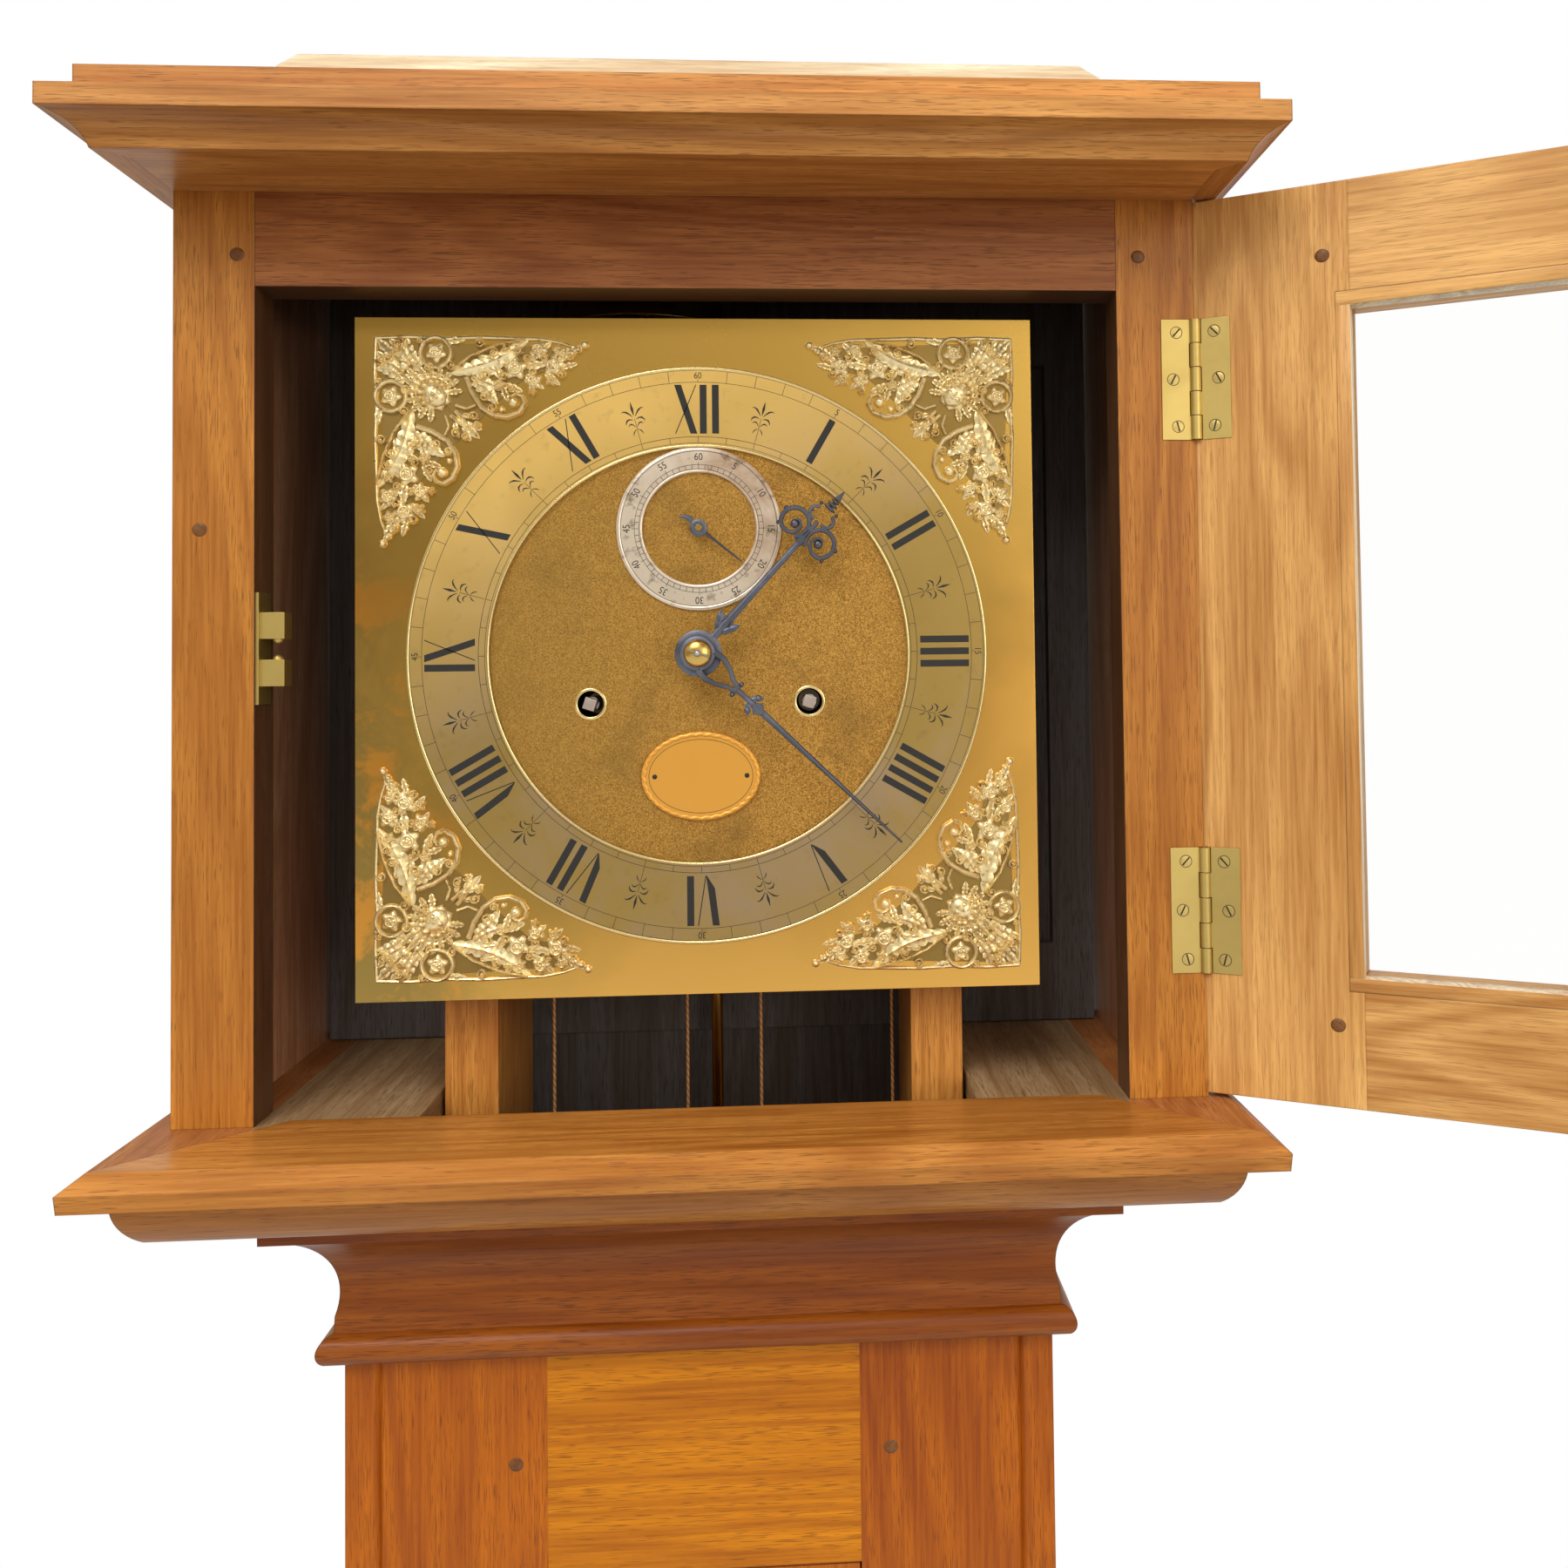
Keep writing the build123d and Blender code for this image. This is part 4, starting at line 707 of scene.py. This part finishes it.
def build_oval():
    # Scalloped rim, a fine line inside it and a screw at each end; the middle is left bare
    count, middle = 180, -55.0

    def loop(ru, rv, wave):
        points = []
        for k in range(count):
            a = 2 * math.pi * k / count
            swell = 1 + wave * math.cos(36 * a)
            points.append((ru * swell * math.cos(a), middle + rv * swell * math.sin(a)))
        return points
    rim = Relief("oval_rim", (0.0, DZ), SMALL_Y)
    rim.strip(loop(25.5, 18.8, 0.016), 1.5, -0.1, 0.6, closed=True)
    rim.build(ORANGE_GOLD, "case")
    line = Relief("oval_line", (0.0, DZ), SMALL_Y)
    line.line(loop(23.2, 16.5, 0.0), 0.22, closed=True)
    for side in (-1, 1):
        line.dome(side * 20.6, middle, 1.15, 1.15, -0.05, 0.35, segments=16, rings=3)
    line.build(WAX, "case")


def write(name, text, height, y, radius, angle, size):
    # Digits on a ring about (0, height); only their mesh is kept
    curve = bpy.data.curves.new(name, "FONT")
    curve.body = text
    curve.align_x = "CENTER"
    curve.align_y = "CENTER"
    curve.size = size * MM
    curve.extrude = 0.00004
    curve.materials.append(WAX)
    temp = add_object(name + "_text", curve)
    bpy.context.view_layer.update()
    mesh = bpy.data.meshes.new_from_object(temp)
    bpy.data.objects.remove(temp)
    s, c = math.sin(angle), math.cos(angle)
    for v in mesh.vertices:
        u, w = v.co.x * 0.85, v.co.y + radius * MM
        v.co = Vector((c * u + s * w, y - v.co.z, height + c * w - s * u))
    return mesh


def build_digits():
    for prefix, height, y, radius, size in (
        ("minute", DZ, RING_Y, 125.9, 4.2),
        ("second", SEC_Z, SMALL_Y, 32.4, 4.6),
    ):
        objects = []
        for k in range(1, 13):
            mesh = write(f"{prefix}_{k}", str(5 * k), height, y, radius, math.radians(30 * k), size)
            objects.append(add_object(mesh.name, mesh))
        chosen = {"selected_editable_objects": objects, "selected_objects": objects}
        with bpy.context.temp_override(active_object=objects[0], **chosen):
            bpy.ops.object.join()
        objects[0].name = f"{prefix}_digits"
        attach(objects[0], "case")


build_chapter()
build_rims()
build_digits()
build_oval()
build_winding_rims()


# Hands; each points up its own v axis and is turned to its time
HAND_H = 1.4


def build_hour_hand():
    hour = Relief("hour_hand_pierced", (0.0, DZ), HOUR_Y, math.radians(42.5))

    def ribbon(points, widths):
        hour.strip(points, widths, 0.0, HAND_H, FLAT_TOP)
    hour.strip(circle(7.6, 40), 5.6, 0.0, HAND_H, FLAT_TOP, closed=True)
    hour.strip([(0, 9), (0, 17), (0, 40), (0, 68)], [3.4, 3.8, 3.0, 2.6], 0.0, HAND_H)
    for side in (-1, 1):
        hour.leaf((side * 0.5, 13.0), (side * 5.4, 21.5), 4.2, HAND_H, 2, low=0.1)
        hour.leaf((side * 0.5, 21.5), (side * 3.0, 15.5), 3.0, HAND_H, 2, low=0.1)
        start = 90 + 140 * side
        ribbon(spiral(side * 7.6, 72.2, 6.6, 6.2, start, -0.78 * side, 26), 2.0)
        tail = spiral(side * 7.6, 72.2, 6.2, 1.4, start - 281 * side, -0.62 * side, 18)
        ribbon(tail, taper(19, 2.0, 1.5, 1.3))
        ribbon(spiral(side * 3.1, 82.0, 3.2, 2.8, 90 + 160 * side, 0.55 * side, 16), 1.5)
        hour.dome(side * 7.0, 71.6, 2.0, 2.0, 0.0, 1.5)
        for u, v, r in ((14.6, 74.5, 1.1), (13.0, 67.2, 1.0), (5.8, 81.5, 1.2), (4.4, 86.6, 0.9)):
            hour.dome(side * u, v, r, r, 0.0, 1.3)
    ribbon([(0, 66), (0, 72), (0, 79)], [4.0, 2.0, 1.8])
    for k in range(4):
        hour.dome(0, 87.2 + 1.9 * k, 3.1 - 0.55 * k, 0.95, 0.0, 1.5)
    hour.prism([(-1.5, 92.0), (1.5, 92.0), (0.25, 97.0), (-0.25, 97.0)], 0.0, HAND_H, 0.2)
    piece = hour.build(BLUED, "hour")
    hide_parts("hour_hand")


def build_minute_hand():
    minute = Relief("minute_hand_pierced", (0.0, DZ), MINUTE_Y, math.radians(133.5))
    minute.strip(circle(5.6, 36), 4.2, 0.0, HAND_H, FLAT_TOP, closed=True)
    arm = [(5.4, 5.0), (6.0, 10.0), (4.6, 15.0), (2.0, 19.5), (0.8, 24.0)]
    for side in (-1, 1):
        minute.strip([(side * u, v) for u, v in arm], [3.0, 2.6, 2.2, 2.2, 2.2], 0.0, HAND_H, FLAT_TOP)
        minute.dome(side * 3.0, 23.4, 1.3, 1.1, 0.0, 1.3)
        minute.leaf((side * 0.6, 30.5), (side * 5.2, 35.0), 3.2, HAND_H, 2, low=0.1)
        minute.dome(side * 3.6, 33.0, 1.5, 1.5, 0.0, HAND_H)
    minute.strip([(0, 22), (0, 30), (0, 38)], [2.6, 2.4, 3.2], 0.0, HAND_H)
    minute.prism([(-3.4, 36.0), (0, 32.8), (3.4, 36.0), (0, 40.0)], 0.0, HAND_H, 0.25)
    minute.strip([(0, 38), (0, 60), (0, 90), (0, 123)], [3.0, 2.5, 1.8, 0.9], 0.0, 1.3)
    piece = minute.build(BLUED, "minute")
    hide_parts("minute_hand")
    collet = Relief("hand_collet", (0.0, DZ), COLLET_Y)
    collet.dome(0, 0, 6.2, 6.2, 0.0, 3.0, segments=32, rings=8)
    collet.build(BRASS, "minute")
    pin = Relief("hand_pin", (0.0, DZ), PIN_Y)
    pin.dome(0, 0, 1.9, 1.9, 0.0, 2.6, segments=16)
    pin.strip([(-4.2, 1.4), (0, 0.2), (5.2, -1.6)], [0.5, 0.9, 1.2], 0.9, 2.1)
    pin.build(STEEL, "minute")


def build_seconds_hand():
    second = Relief("seconds_hand_shape", (0.0, SEC_Z), SECOND_Y, math.radians(128.4))
    second.strip(circle(2.6, 24), 2.6, 0.0, 0.9, FLAT_TOP, closed=True)
    second.strip([(0, 3.4), (0, 12), (0, 24.5)], [1.5, 1.1, 0.7], 0.0, 0.9)
    second.strip([(0, -3.4), (-0.8, -5.6), (-0.2, -8.0), (1.4, -9.8)], [1.6, 2.8, 2.0, 0.8], 0.0, 0.9)
    piece = second.build(BLUED, "escape")
    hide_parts("seconds_hand")


build_hour_hand()
build_minute_hand()
build_seconds_hand()


# Cast corners; u runs to the right and v up from the dial's centre, and all but the middle is made twice,
# once on each side of the diagonal
CAST_QUARTERS = ((1, 1), (-1, 1), (-1, -1), (1, -1))
HEAD_AT = 117.4
DIAGONAL = math.radians(45)


def corner_edge(relief):
    # Thin web along the straight outer edge, and a ringed scroll with a flower beside it
    relief.strip([(143.0, 143.0), (143.6, 128), (142.8, 112), (143.4, 98), (142.8, 80)], 1.6, 0.0, 1.2)
    relief.strip([(142.8, 80), (142.6, 70), (141.0, 61), (138.5, 54)], [1.6, 1.4, 1.3, 1.0], 0.0, 1.2)
    relief.strip(circle(6.8, 30, 136.4, 116.6), 2.0, 0.0, 2.3, closed=True)
    relief.rose(136.4, 116.6, 4.3, 2.4)
    relief.leaves((
        ((131.5, 124.0), (143.0, 129.5), 5.0, 2.3, 4, 1.2), ((134.0, 122.0), (127.5, 126.5), 3.6, 2.0, 2),
        ((131.0, 127.5), (142.5, 137.0), 5.2, 2.4, 4, -1.0), ((141.0, 112.0), (142.6, 103.5), 3.4, 2.0, 3),
    ))
    # Long acanthus leaf down the edge, with a strong rib
    relief.leaf((127.5, 110.0), (142.8, 75.5), 8.4, 2.4, 8, -3.4)
    relief.strip([(128, 110), (134.8, 101), (139.4, 90), (142.6, 77)], [1.3, 1.5, 1.3, 0.7], 0.0, 3.0)
    relief.leaf((134.5, 98.0), (132.5, 88.0), 3.4, 2.0, 3)


def corner_scroll(relief):
    # Big hooked scroll towards the ring, and the leaves and fruit that fill it
    hook = [(125, 103), (118, 100.5), (111.6, 96.6), (108.0, 91), (107.2, 85), (109.4, 79.6), (113.4, 77.2)]
    relief.strip(hook, [2.4, 2.5, 2.5, 2.4, 2.3, 2.2, 2.1], 0.0, 2.6)
    relief.strip([(113.4, 77.2), (116.6, 78.2), (117.8, 81.2), (116.2, 83.8)], [2.1, 1.9, 1.7, 1.5], 0.0, 2.6)
    relief.dome(114.0, 82.4, 2.5, 2.5, 0.0, 2.9, segments=14)
    relief.dome(110.8, 87.6, 1.5, 1.5, 0.0, 2.0, segments=10)
    relief.rose(121.8, 88.6, 3.0, 2.6)
    relief.leaves((
        ((123.5, 100.0), (113.0, 89.5), 6.6, 2.6, 5, 1.0), ((126.5, 101.0), (120.0, 86.5), 6.0, 2.5, 5, -1.2),
        ((129.0, 100.5), (128.0, 87.0), 5.0, 2.3, 4), ((121.0, 87.0), (114.5, 85.0), 3.4, 2.2, 3),
        ((122.0, 86.0), (118.8, 78.4), 3.6, 2.2, 3), ((124.5, 88.0), (131.5, 91.5), 3.0, 2.0, 2),
    ))


def corner_spray(relief):
    # Flower spray, and below it a leafy tip with a knob
    for u, v, r in (
        (129.4, 81.6, 5.0), (137.8, 71.4, 3.9), (123.4, 73.6, 3.9), (130.6, 64.6, 4.6),
        (137.4, 80.2, 2.6), (124.2, 65.8, 2.6), (137.0, 62.2, 3.0), (119.0, 74.2, 1.8),
    ):
        relief.rose(u, v, r, 2.5)
    relief.leaves((
        ((130.0, 77.0), (131.4, 67.5), 4.2, 2.3, 3), ((132.5, 76.0), (141.6, 65.5), 3.6, 2.2, 3, -0.8),
        ((126.5, 77.0), (120.0, 69.0), 3.6, 2.2, 3), ((127.5, 68.5), (121.8, 61.8), 3.2, 2.1, 3),
        ((132.0, 62.5), (139.6, 51.0), 4.4, 2.4, 5, 0.8), ((129.5, 61.0), (131.6, 53.8), 3.0, 2.0, 3),
    ))
    for k in range(3):
        relief.dome(134.4 + 1.7 * k, 58.6 - 2.6 * k, 1.6, 1.4, 0.0, 2.9, segments=12)
    relief.dome(140.0, 50.6, 1.9, 1.9, 0.0, 2.6, segments=14)


def corner_curls(relief):
    # Small curls fill what is left open
    for k, (u, v, r) in enumerate((
        (140.2, 133.0, 2.8), (133.6, 137.2, 2.6), (141.6, 122.6, 2.0), (129.6, 119.6, 2.4),
        (130.8, 109.8, 2.4), (140.6, 97.0, 2.2), (136.2, 91.0, 2.4), (138.6, 85.6, 2.0),
        (125.8, 94.6, 2.4), (116.4, 94.8, 2.6), (111.4, 92.0, 1.9), (126.0, 86.6, 2.0),
        (119.6, 83.2, 1.8), (133.6, 76.4, 2.0), (127.6, 73.6, 2.0), (134.0, 68.4, 1.9),
        (127.0, 61.4, 2.0), (134.8, 57.4, 1.8), (107.6, 100.0, 2.2), (103.8, 98.6, 1.6),
    )):
        relief.curl(u, v, r, 67 * k, 1.4 if k % 2 else -1.4, 2.3)


def corner_fan(relief):
    # Bud that reaches in towards the ring, and a fan of leaves round the head
    relief.strip([(110, 108), (106.5, 104.8), (103.0, 102.0)], [2.0, 1.9, 1.5], 0.0, 2.2)
    relief.leaf((104.2, 103.2), (101.6, 96.4), 3.2, 2.2, 3)
    relief.leaf((108.5, 105.0), (106.4, 97.8), 2.6, 2.0, 2)
    relief.strip([(112.6, 108), (111.0, 103), (112.8, 99)], [1.6, 1.5, 1.3], 0.0, 1.8)
    for angle, reach, wide in (
        (28, 14.6, 4.0), (8, 13.4, 3.8), (-14, 12.6, 3.8),
        (-36, 12.6, 3.8), (-58, 12.8, 3.6), (-82, 12.6, 3.4),
    ):
        c, s = math.cos(math.radians(angle)), math.sin(math.radians(angle))
        inner, outer = ((HEAD_AT + r * c, HEAD_AT + r * s) for r in (6.4, reach))
        relief.leaf(inner, outer, wide, 2.6, 3)
    relief.strip([(124.5, 121), (128.5, 123.5), (131.5, 127)], [1.9, 1.6, 1.6], 0.0, 2.0)
    relief.strip([(127, 115), (130.5, 115.4)], [1.8, 1.6], 0.0, 2.0)


def corner_middle(relief):
    # On the diagonal itself
    relief.leaf((130, 130), (143.6, 143.6), 5.0, 2.6, 5)
    relief.dome(130.6, 130.6, 2.6, 2.6, 0.0, 2.8, segments=14)
    relief.leaf((122, 122), (129.6, 129.6), 3.6, 2.4, 3)
    relief.leaf((107.5, 107.5), (97.6, 97.6), 4.8, 2.5, 3)
    relief.dome(104.6, 104.6, 1.6, 1.6, 0.0, 2.7, segments=12)


def corner_head(relief):
    # A plain round head with a simple face of its own
    turn = DIAGONAL - math.pi / 2

    def dome(side, up, ru, rv, low, high, **shape):
        u = HEAD_AT + side * math.cos(-DIAGONAL) + up * math.cos(DIAGONAL)
        v = HEAD_AT + side * math.sin(-DIAGONAL) + up * math.sin(DIAGONAL)
        relief.dome(u, v, ru, rv, low, high, **shape)
    dome(0, 0.4, 8.0, 7.6, 0.0, 3.0, turn=DIAGONAL, petals=9, depth=0.10, segments=36)
    dome(0, -0.4, 5.2, 6.2, 1.0, 4.6, turn=turn, segments=24, rings=7)
    for side in (-1, 1):
        dome(side * 2.1, -1.6, 1.6, 1.4, 3.0, 4.8, segments=12)
        dome(side * 1.9, 1.1, 1.0, 0.5, 3.4, 4.85, segments=10, turn=turn)
        for across, up, r in ((3.4, 4.6, 1.9), (5.2, 2.6, 1.7), (5.8, 0.0, 1.5)):
            dome(side * across, up, r, r * 0.85, 1.0, 4.1, segments=12)
    dome(0, -0.5, 0.8, 1.5, 3.6, 5.3, segments=10, turn=turn)
    dome(0, -2.9, 1.2, 0.45, 3.4, 4.9, segments=10, turn=turn)
    dome(0, 5.3, 2.3, 1.7, 1.0, 4.5, segments=12)


def build_corners():
    relief = Relief("corner_castings", (0.0, DZ), DY)
    for sign in CAST_QUARTERS:
        relief.sign = sign
        for swap in (False, True):
            relief.swap = swap
            for part in (corner_edge, corner_scroll, corner_spray, corner_curls, corner_fan):
                part(relief)
        relief.swap = False
        corner_middle(relief)
        corner_head(relief)
    piece = relief.build(GILT, "case")
    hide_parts("corner_spandrels")


def build_casting_shade():
    # Painted shade: a low dark sheet under the open work, which the real casting lacks, darkens the gaps
    # where shade falls
    half = [(142.0, 142.0), (101.5, 101.5), (112.0, 92.0), (126.0, 76.0), (129.0, 63.0), (138.5, 56.0)]
    shade_sheet = Relief("corner_casting_shade", (0.0, DZ), DY)
    for sign in CAST_QUARTERS:
        shade_sheet.sign = sign
        for swap in (False, True):
            shade_sheet.swap = swap
            shade_sheet.prism(half, -0.1, 0.25, 0.05)
    shade_sheet.build(SHADE_SHEET_BRASS, "case")


build_corners()
build_casting_shade()


# Screws, pegs and small trim
def build_screws():
    # Countersunk heads on both leaves of each hinge
    heads = Relief("hinge_screws", (0.0, 0.0), AXIS.y)
    slots = Relief("hinge_slots", (0.0, 0.0), AXIS.y)
    leaf_x = (AXIS.x - 0.0092) / MM
    head_r, hole_r, slot_r = 2.5, 2.65, 2.3
    for low, high in HINGES:
        for share, shift in ((0.11, 0.9), (0.5, -1.0), (0.89, 0.7)):
            x, z = leaf_x + shift, (low + (high - low) * share) / MM
            heads.dome(x, z, head_r, head_r, -0.1, 0.10, segments=24, rings=4)
            slots.strip(circle(hole_r, 24, x, z), 0.3, -0.05, 0.06, FLAT_TOP, closed=True)
            turn = 0.6 + share * 3 + shift
            c, s = slot_r * math.cos(turn), slot_r * math.sin(turn)
            slots.strip([(x - c, z - s), (x + c, z + s)], 0.7, 0.0, 0.13, FLAT_TOP)
    for relief, material in ((heads, BRASS_HINGE), (slots, WAX)):
        relief.build(material, "hood")
        relief.name += "_door"
        relief.swing_back()
        relief.build(material, "hood_door")


def door_box(name, low, high, material, bevel, edges=None):
    # Made shut and swung with the door; the edges can have their own material
    verts = [(x, y, z) for x in (low[0], high[0]) for y in (low[1], high[1]) for z in (low[2], high[2])]
    faces = [(0, 1, 3, 2), (4, 6, 7, 5), (0, 4, 5, 1), (2, 3, 7, 6), (0, 2, 6, 4), (1, 5, 7, 3)]
    mesh = bpy.data.meshes.new(name)
    mesh.from_pydata(verts, [], faces)
    obj = add_object(name, mesh)
    rounding = obj.modifiers.new("bevel", "BEVEL")
    rounding.width = bevel
    rounding.segments = 2
    bpy.context.view_layer.update()
    done = bpy.data.meshes.new_from_object(obj.evaluated_get(bpy.context.evaluated_depsgraph_get()))
    obj.modifiers.clear()
    done.materials.append(material)
    if edges:
        done.materials.append(edges)
        for face in done.polygons:
            face.material_index = int(abs(face.normal.y) < 0.5)
    done.transform(SWING)
    done.shade_smooth()
    done.set_sharp_from_angle(angle=math.radians(50))
    obj.data = done
    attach(obj, "hood_door")


def build_glazing():
    # The beads fill the rebate flush with the door's back; their edges by the glass are pale
    y0, y1 = DOOR_FRONT - 0.0099, DOOR_FRONT + 0.00004
    inner, rim = 0.1569, 0.0059
    outer = inner + rim
    low, high = DZ - 0.1415, DZ + 0.1464
    for side, x0, x1, z0, z1, wood in (
        ("top", -outer, outer, high, high + rim, OAK_RAIL),
        ("bottom", -outer, outer, low - rim, low, OAK_RAIL),
        ("left", -outer, -inner, low, high, OAK_STILE),
        ("right", inner, outer, low, high, OAK_STILE),
    ):
        door_box(f"glazing_bead_{side}", (x0, y0, z0), (x1, y1, z1), wood, 0.0002, OAK_BEAD)


def build_lip():
    # A thin lip closes the line of light between the open door and its stile, with gaps for the hinges
    gap = 0.0002
    ends = [DOOR_LOW]
    for low, high in HINGES:
        ends += [low - gap, high + gap]
    ends.append(DOOR_HIGH)
    for k in range(3):
        low = (AXIS.x - 0.0016, AXIS.y - 0.0005, ends[2 * k])
        high = (AXIS.x + 0.0005, AXIS.y - 0.0001, ends[2 * k + 1])
        door_box(f"door_lip_{k}", low, high, OAK_STILE, 0.0001)


def build_pegs():
    def pegs(name, y, places):
        relief = Relief(name, (0.0, DZ), y)
        for u, v in places:
            relief.dome(u, v, 3.5, 3.3, -0.2, 0.35, segments=20, rings=3)
        return relief
    frame_places = ((-195.4, 174.1), (-210.8, 55.2), (198.1, 175.7))
    pegs("frame_pegs", HOOD_FRONT, frame_places).build(OAK_PEG, "hood")
    trunk_places = [(u, v) for u in (-81.5, 81.5) for v in (-351.0, -1120.0)]
    pegs("trunk_pegs", TRUNK_FRONT, trunk_places).build(OAK_PEG, "case")
    # The door's pegs show on its back, which looks to the viewer while the door is open
    door_places = [(u, v) for u in (-167.9, 167.9) for v in (168.8, -162.0)]
    door_pegs = pegs("door_pegs", DOOR_FRONT, door_places)
    door_pegs.swing_back()
    door_pegs.build(OAK_PEG, "hood_door")


build_screws()
build_glazing()
build_lip()
build_pegs()


# Stage, light and camera
WHITE = (1.0, 1.0, 1.0)
FLOOR_R = 7.0


def build_stage():
    # The floor takes shadows near the clock and fades to the white of the background
    mesh = bpy.data.meshes.new("floor")
    verts = [(x, y, -0.0002) for x, y in circle(FLOOR_R, 64)]
    mesh.from_pydata(verts, [], [list(range(len(verts)))])
    n = Material("pale_floor")
    x, y, _ = n.split()
    radius = n.math("SQRT", n.math("ADD", n.math("POWER", x, 2.0), n.math("POWER", y, 2.0)))
    fade = n.rise(n.math("MULTIPLY", radius, 0.2), 0.15, 0.36)
    path = n.add("ShaderNodeLightPath").outputs
    seen = n.math("MAXIMUM", path["Is Camera Ray"], path["Is Transmission Ray"])
    seen = n.math("MAXIMUM", seen, path["Is Glossy Ray"])
    glow = {"Emission_Color": WHITE, "Emission_Strength": n.math("MULTIPLY", fade, seen)}
    color = n.mix(fade, (0.80, 0.80, 0.79), (0.0, 0.0, 0.0))
    mesh.materials.append(n.finish(color, 0.7, Specular_IOR_Level=0.0, **glow))
    add_object("floor", mesh)


def build_world():
    # White where it is seen, a soft room where metal reflects it, and more light from above than below
    world = bpy.data.worlds.new("studio")
    bpy.context.scene.world = world
    world.use_nodes = True
    n = Nodes(world.node_tree, "Generated")
    back = n.tree.nodes["Background"]
    n.put(back.inputs["Color"], WHITE)
    stops = [(0.38, (0.16, 0.14, 0.10)), (0.50, (0.55, 0.48, 0.36)), (0.60, (0.95, 0.90, 0.80))]
    room = n.add("ShaderNodeBackground", {"Color": n.ramp(n.noise(n.coord, 2.6, 2.0), stops)})
    height = n.math("MULTIPLY_ADD", n.split()[2], 0.5, 0.5)
    stops = [(0.30, (0.42, 0.36, 0.28)), (0.55, (0.90, 0.86, 0.79)), (0.85, (1.0, 0.99, 0.97))]
    sky = n.add("ShaderNodeBackground", {"Color": n.ramp(height, stops)})
    path = n.add("ShaderNodeLightPath").outputs
    seen = n.math("MAXIMUM", path["Is Camera Ray"], path["Is Transmission Ray"])
    lit = n.mix_shaders(path["Is Glossy Ray"], sky, room)
    mixed = n.mix_shaders(seen, lit, back)
    n.link(mixed.outputs[0], n.tree.nodes["World Output"].inputs["Surface"])


def build_light(name, place, target, power, color=WHITE):
    data = bpy.data.lights.new(name, "AREA")
    data.size = 1.6
    data.energy = power
    data.color = color
    light = add_object(name, data)
    light.location = place
    light.rotation_euler = (Vector(target) - Vector(place)).to_track_quat("-Z", "Y").to_euler()


def build_camera():
    # Fitted to the photograph; the shifts are in pixels of its 1800
    place = (0.0443, -0.6779, 1.6324)
    yaw, pitch, roll = 0.0647, 0.0295, -0.0121
    photo, shift_x, shift_y = 1800.0, -120.0, -180.0
    flat = math.cos(pitch)
    forward = Vector((math.sin(yaw) * flat, math.cos(yaw) * flat, math.sin(pitch)))
    level = Vector((math.cos(yaw), -math.sin(yaw), 0.0))
    above = level.cross(forward)
    right = math.cos(roll) * level + math.sin(roll) * above
    up = math.cos(roll) * above - math.sin(roll) * level
    data = bpy.data.cameras.new("camera")
    data.sensor_width = 36.0
    data.lens = 32.0
    data.shift_x = shift_x / photo
    data.shift_y = shift_y / photo
    data.clip_start = 0.01
    camera = add_object("camera", data)
    camera.matrix_world = Matrix.Translation(place) @ Matrix((right, up, -forward)).transposed().to_4x4()
    bpy.context.scene.camera = camera


build_stage()
build_world()
build_light("key", (-0.9, -2.3, 4.0), (0, 0, 1.6), 56.0)
build_light("fill", (1.8, -2.6, 2.2), (0, 0, 1.5), 22.0, (1.0, 0.95, 0.88))
build_camera()
bpy.context.scene.view_settings.view_transform = "Standard"
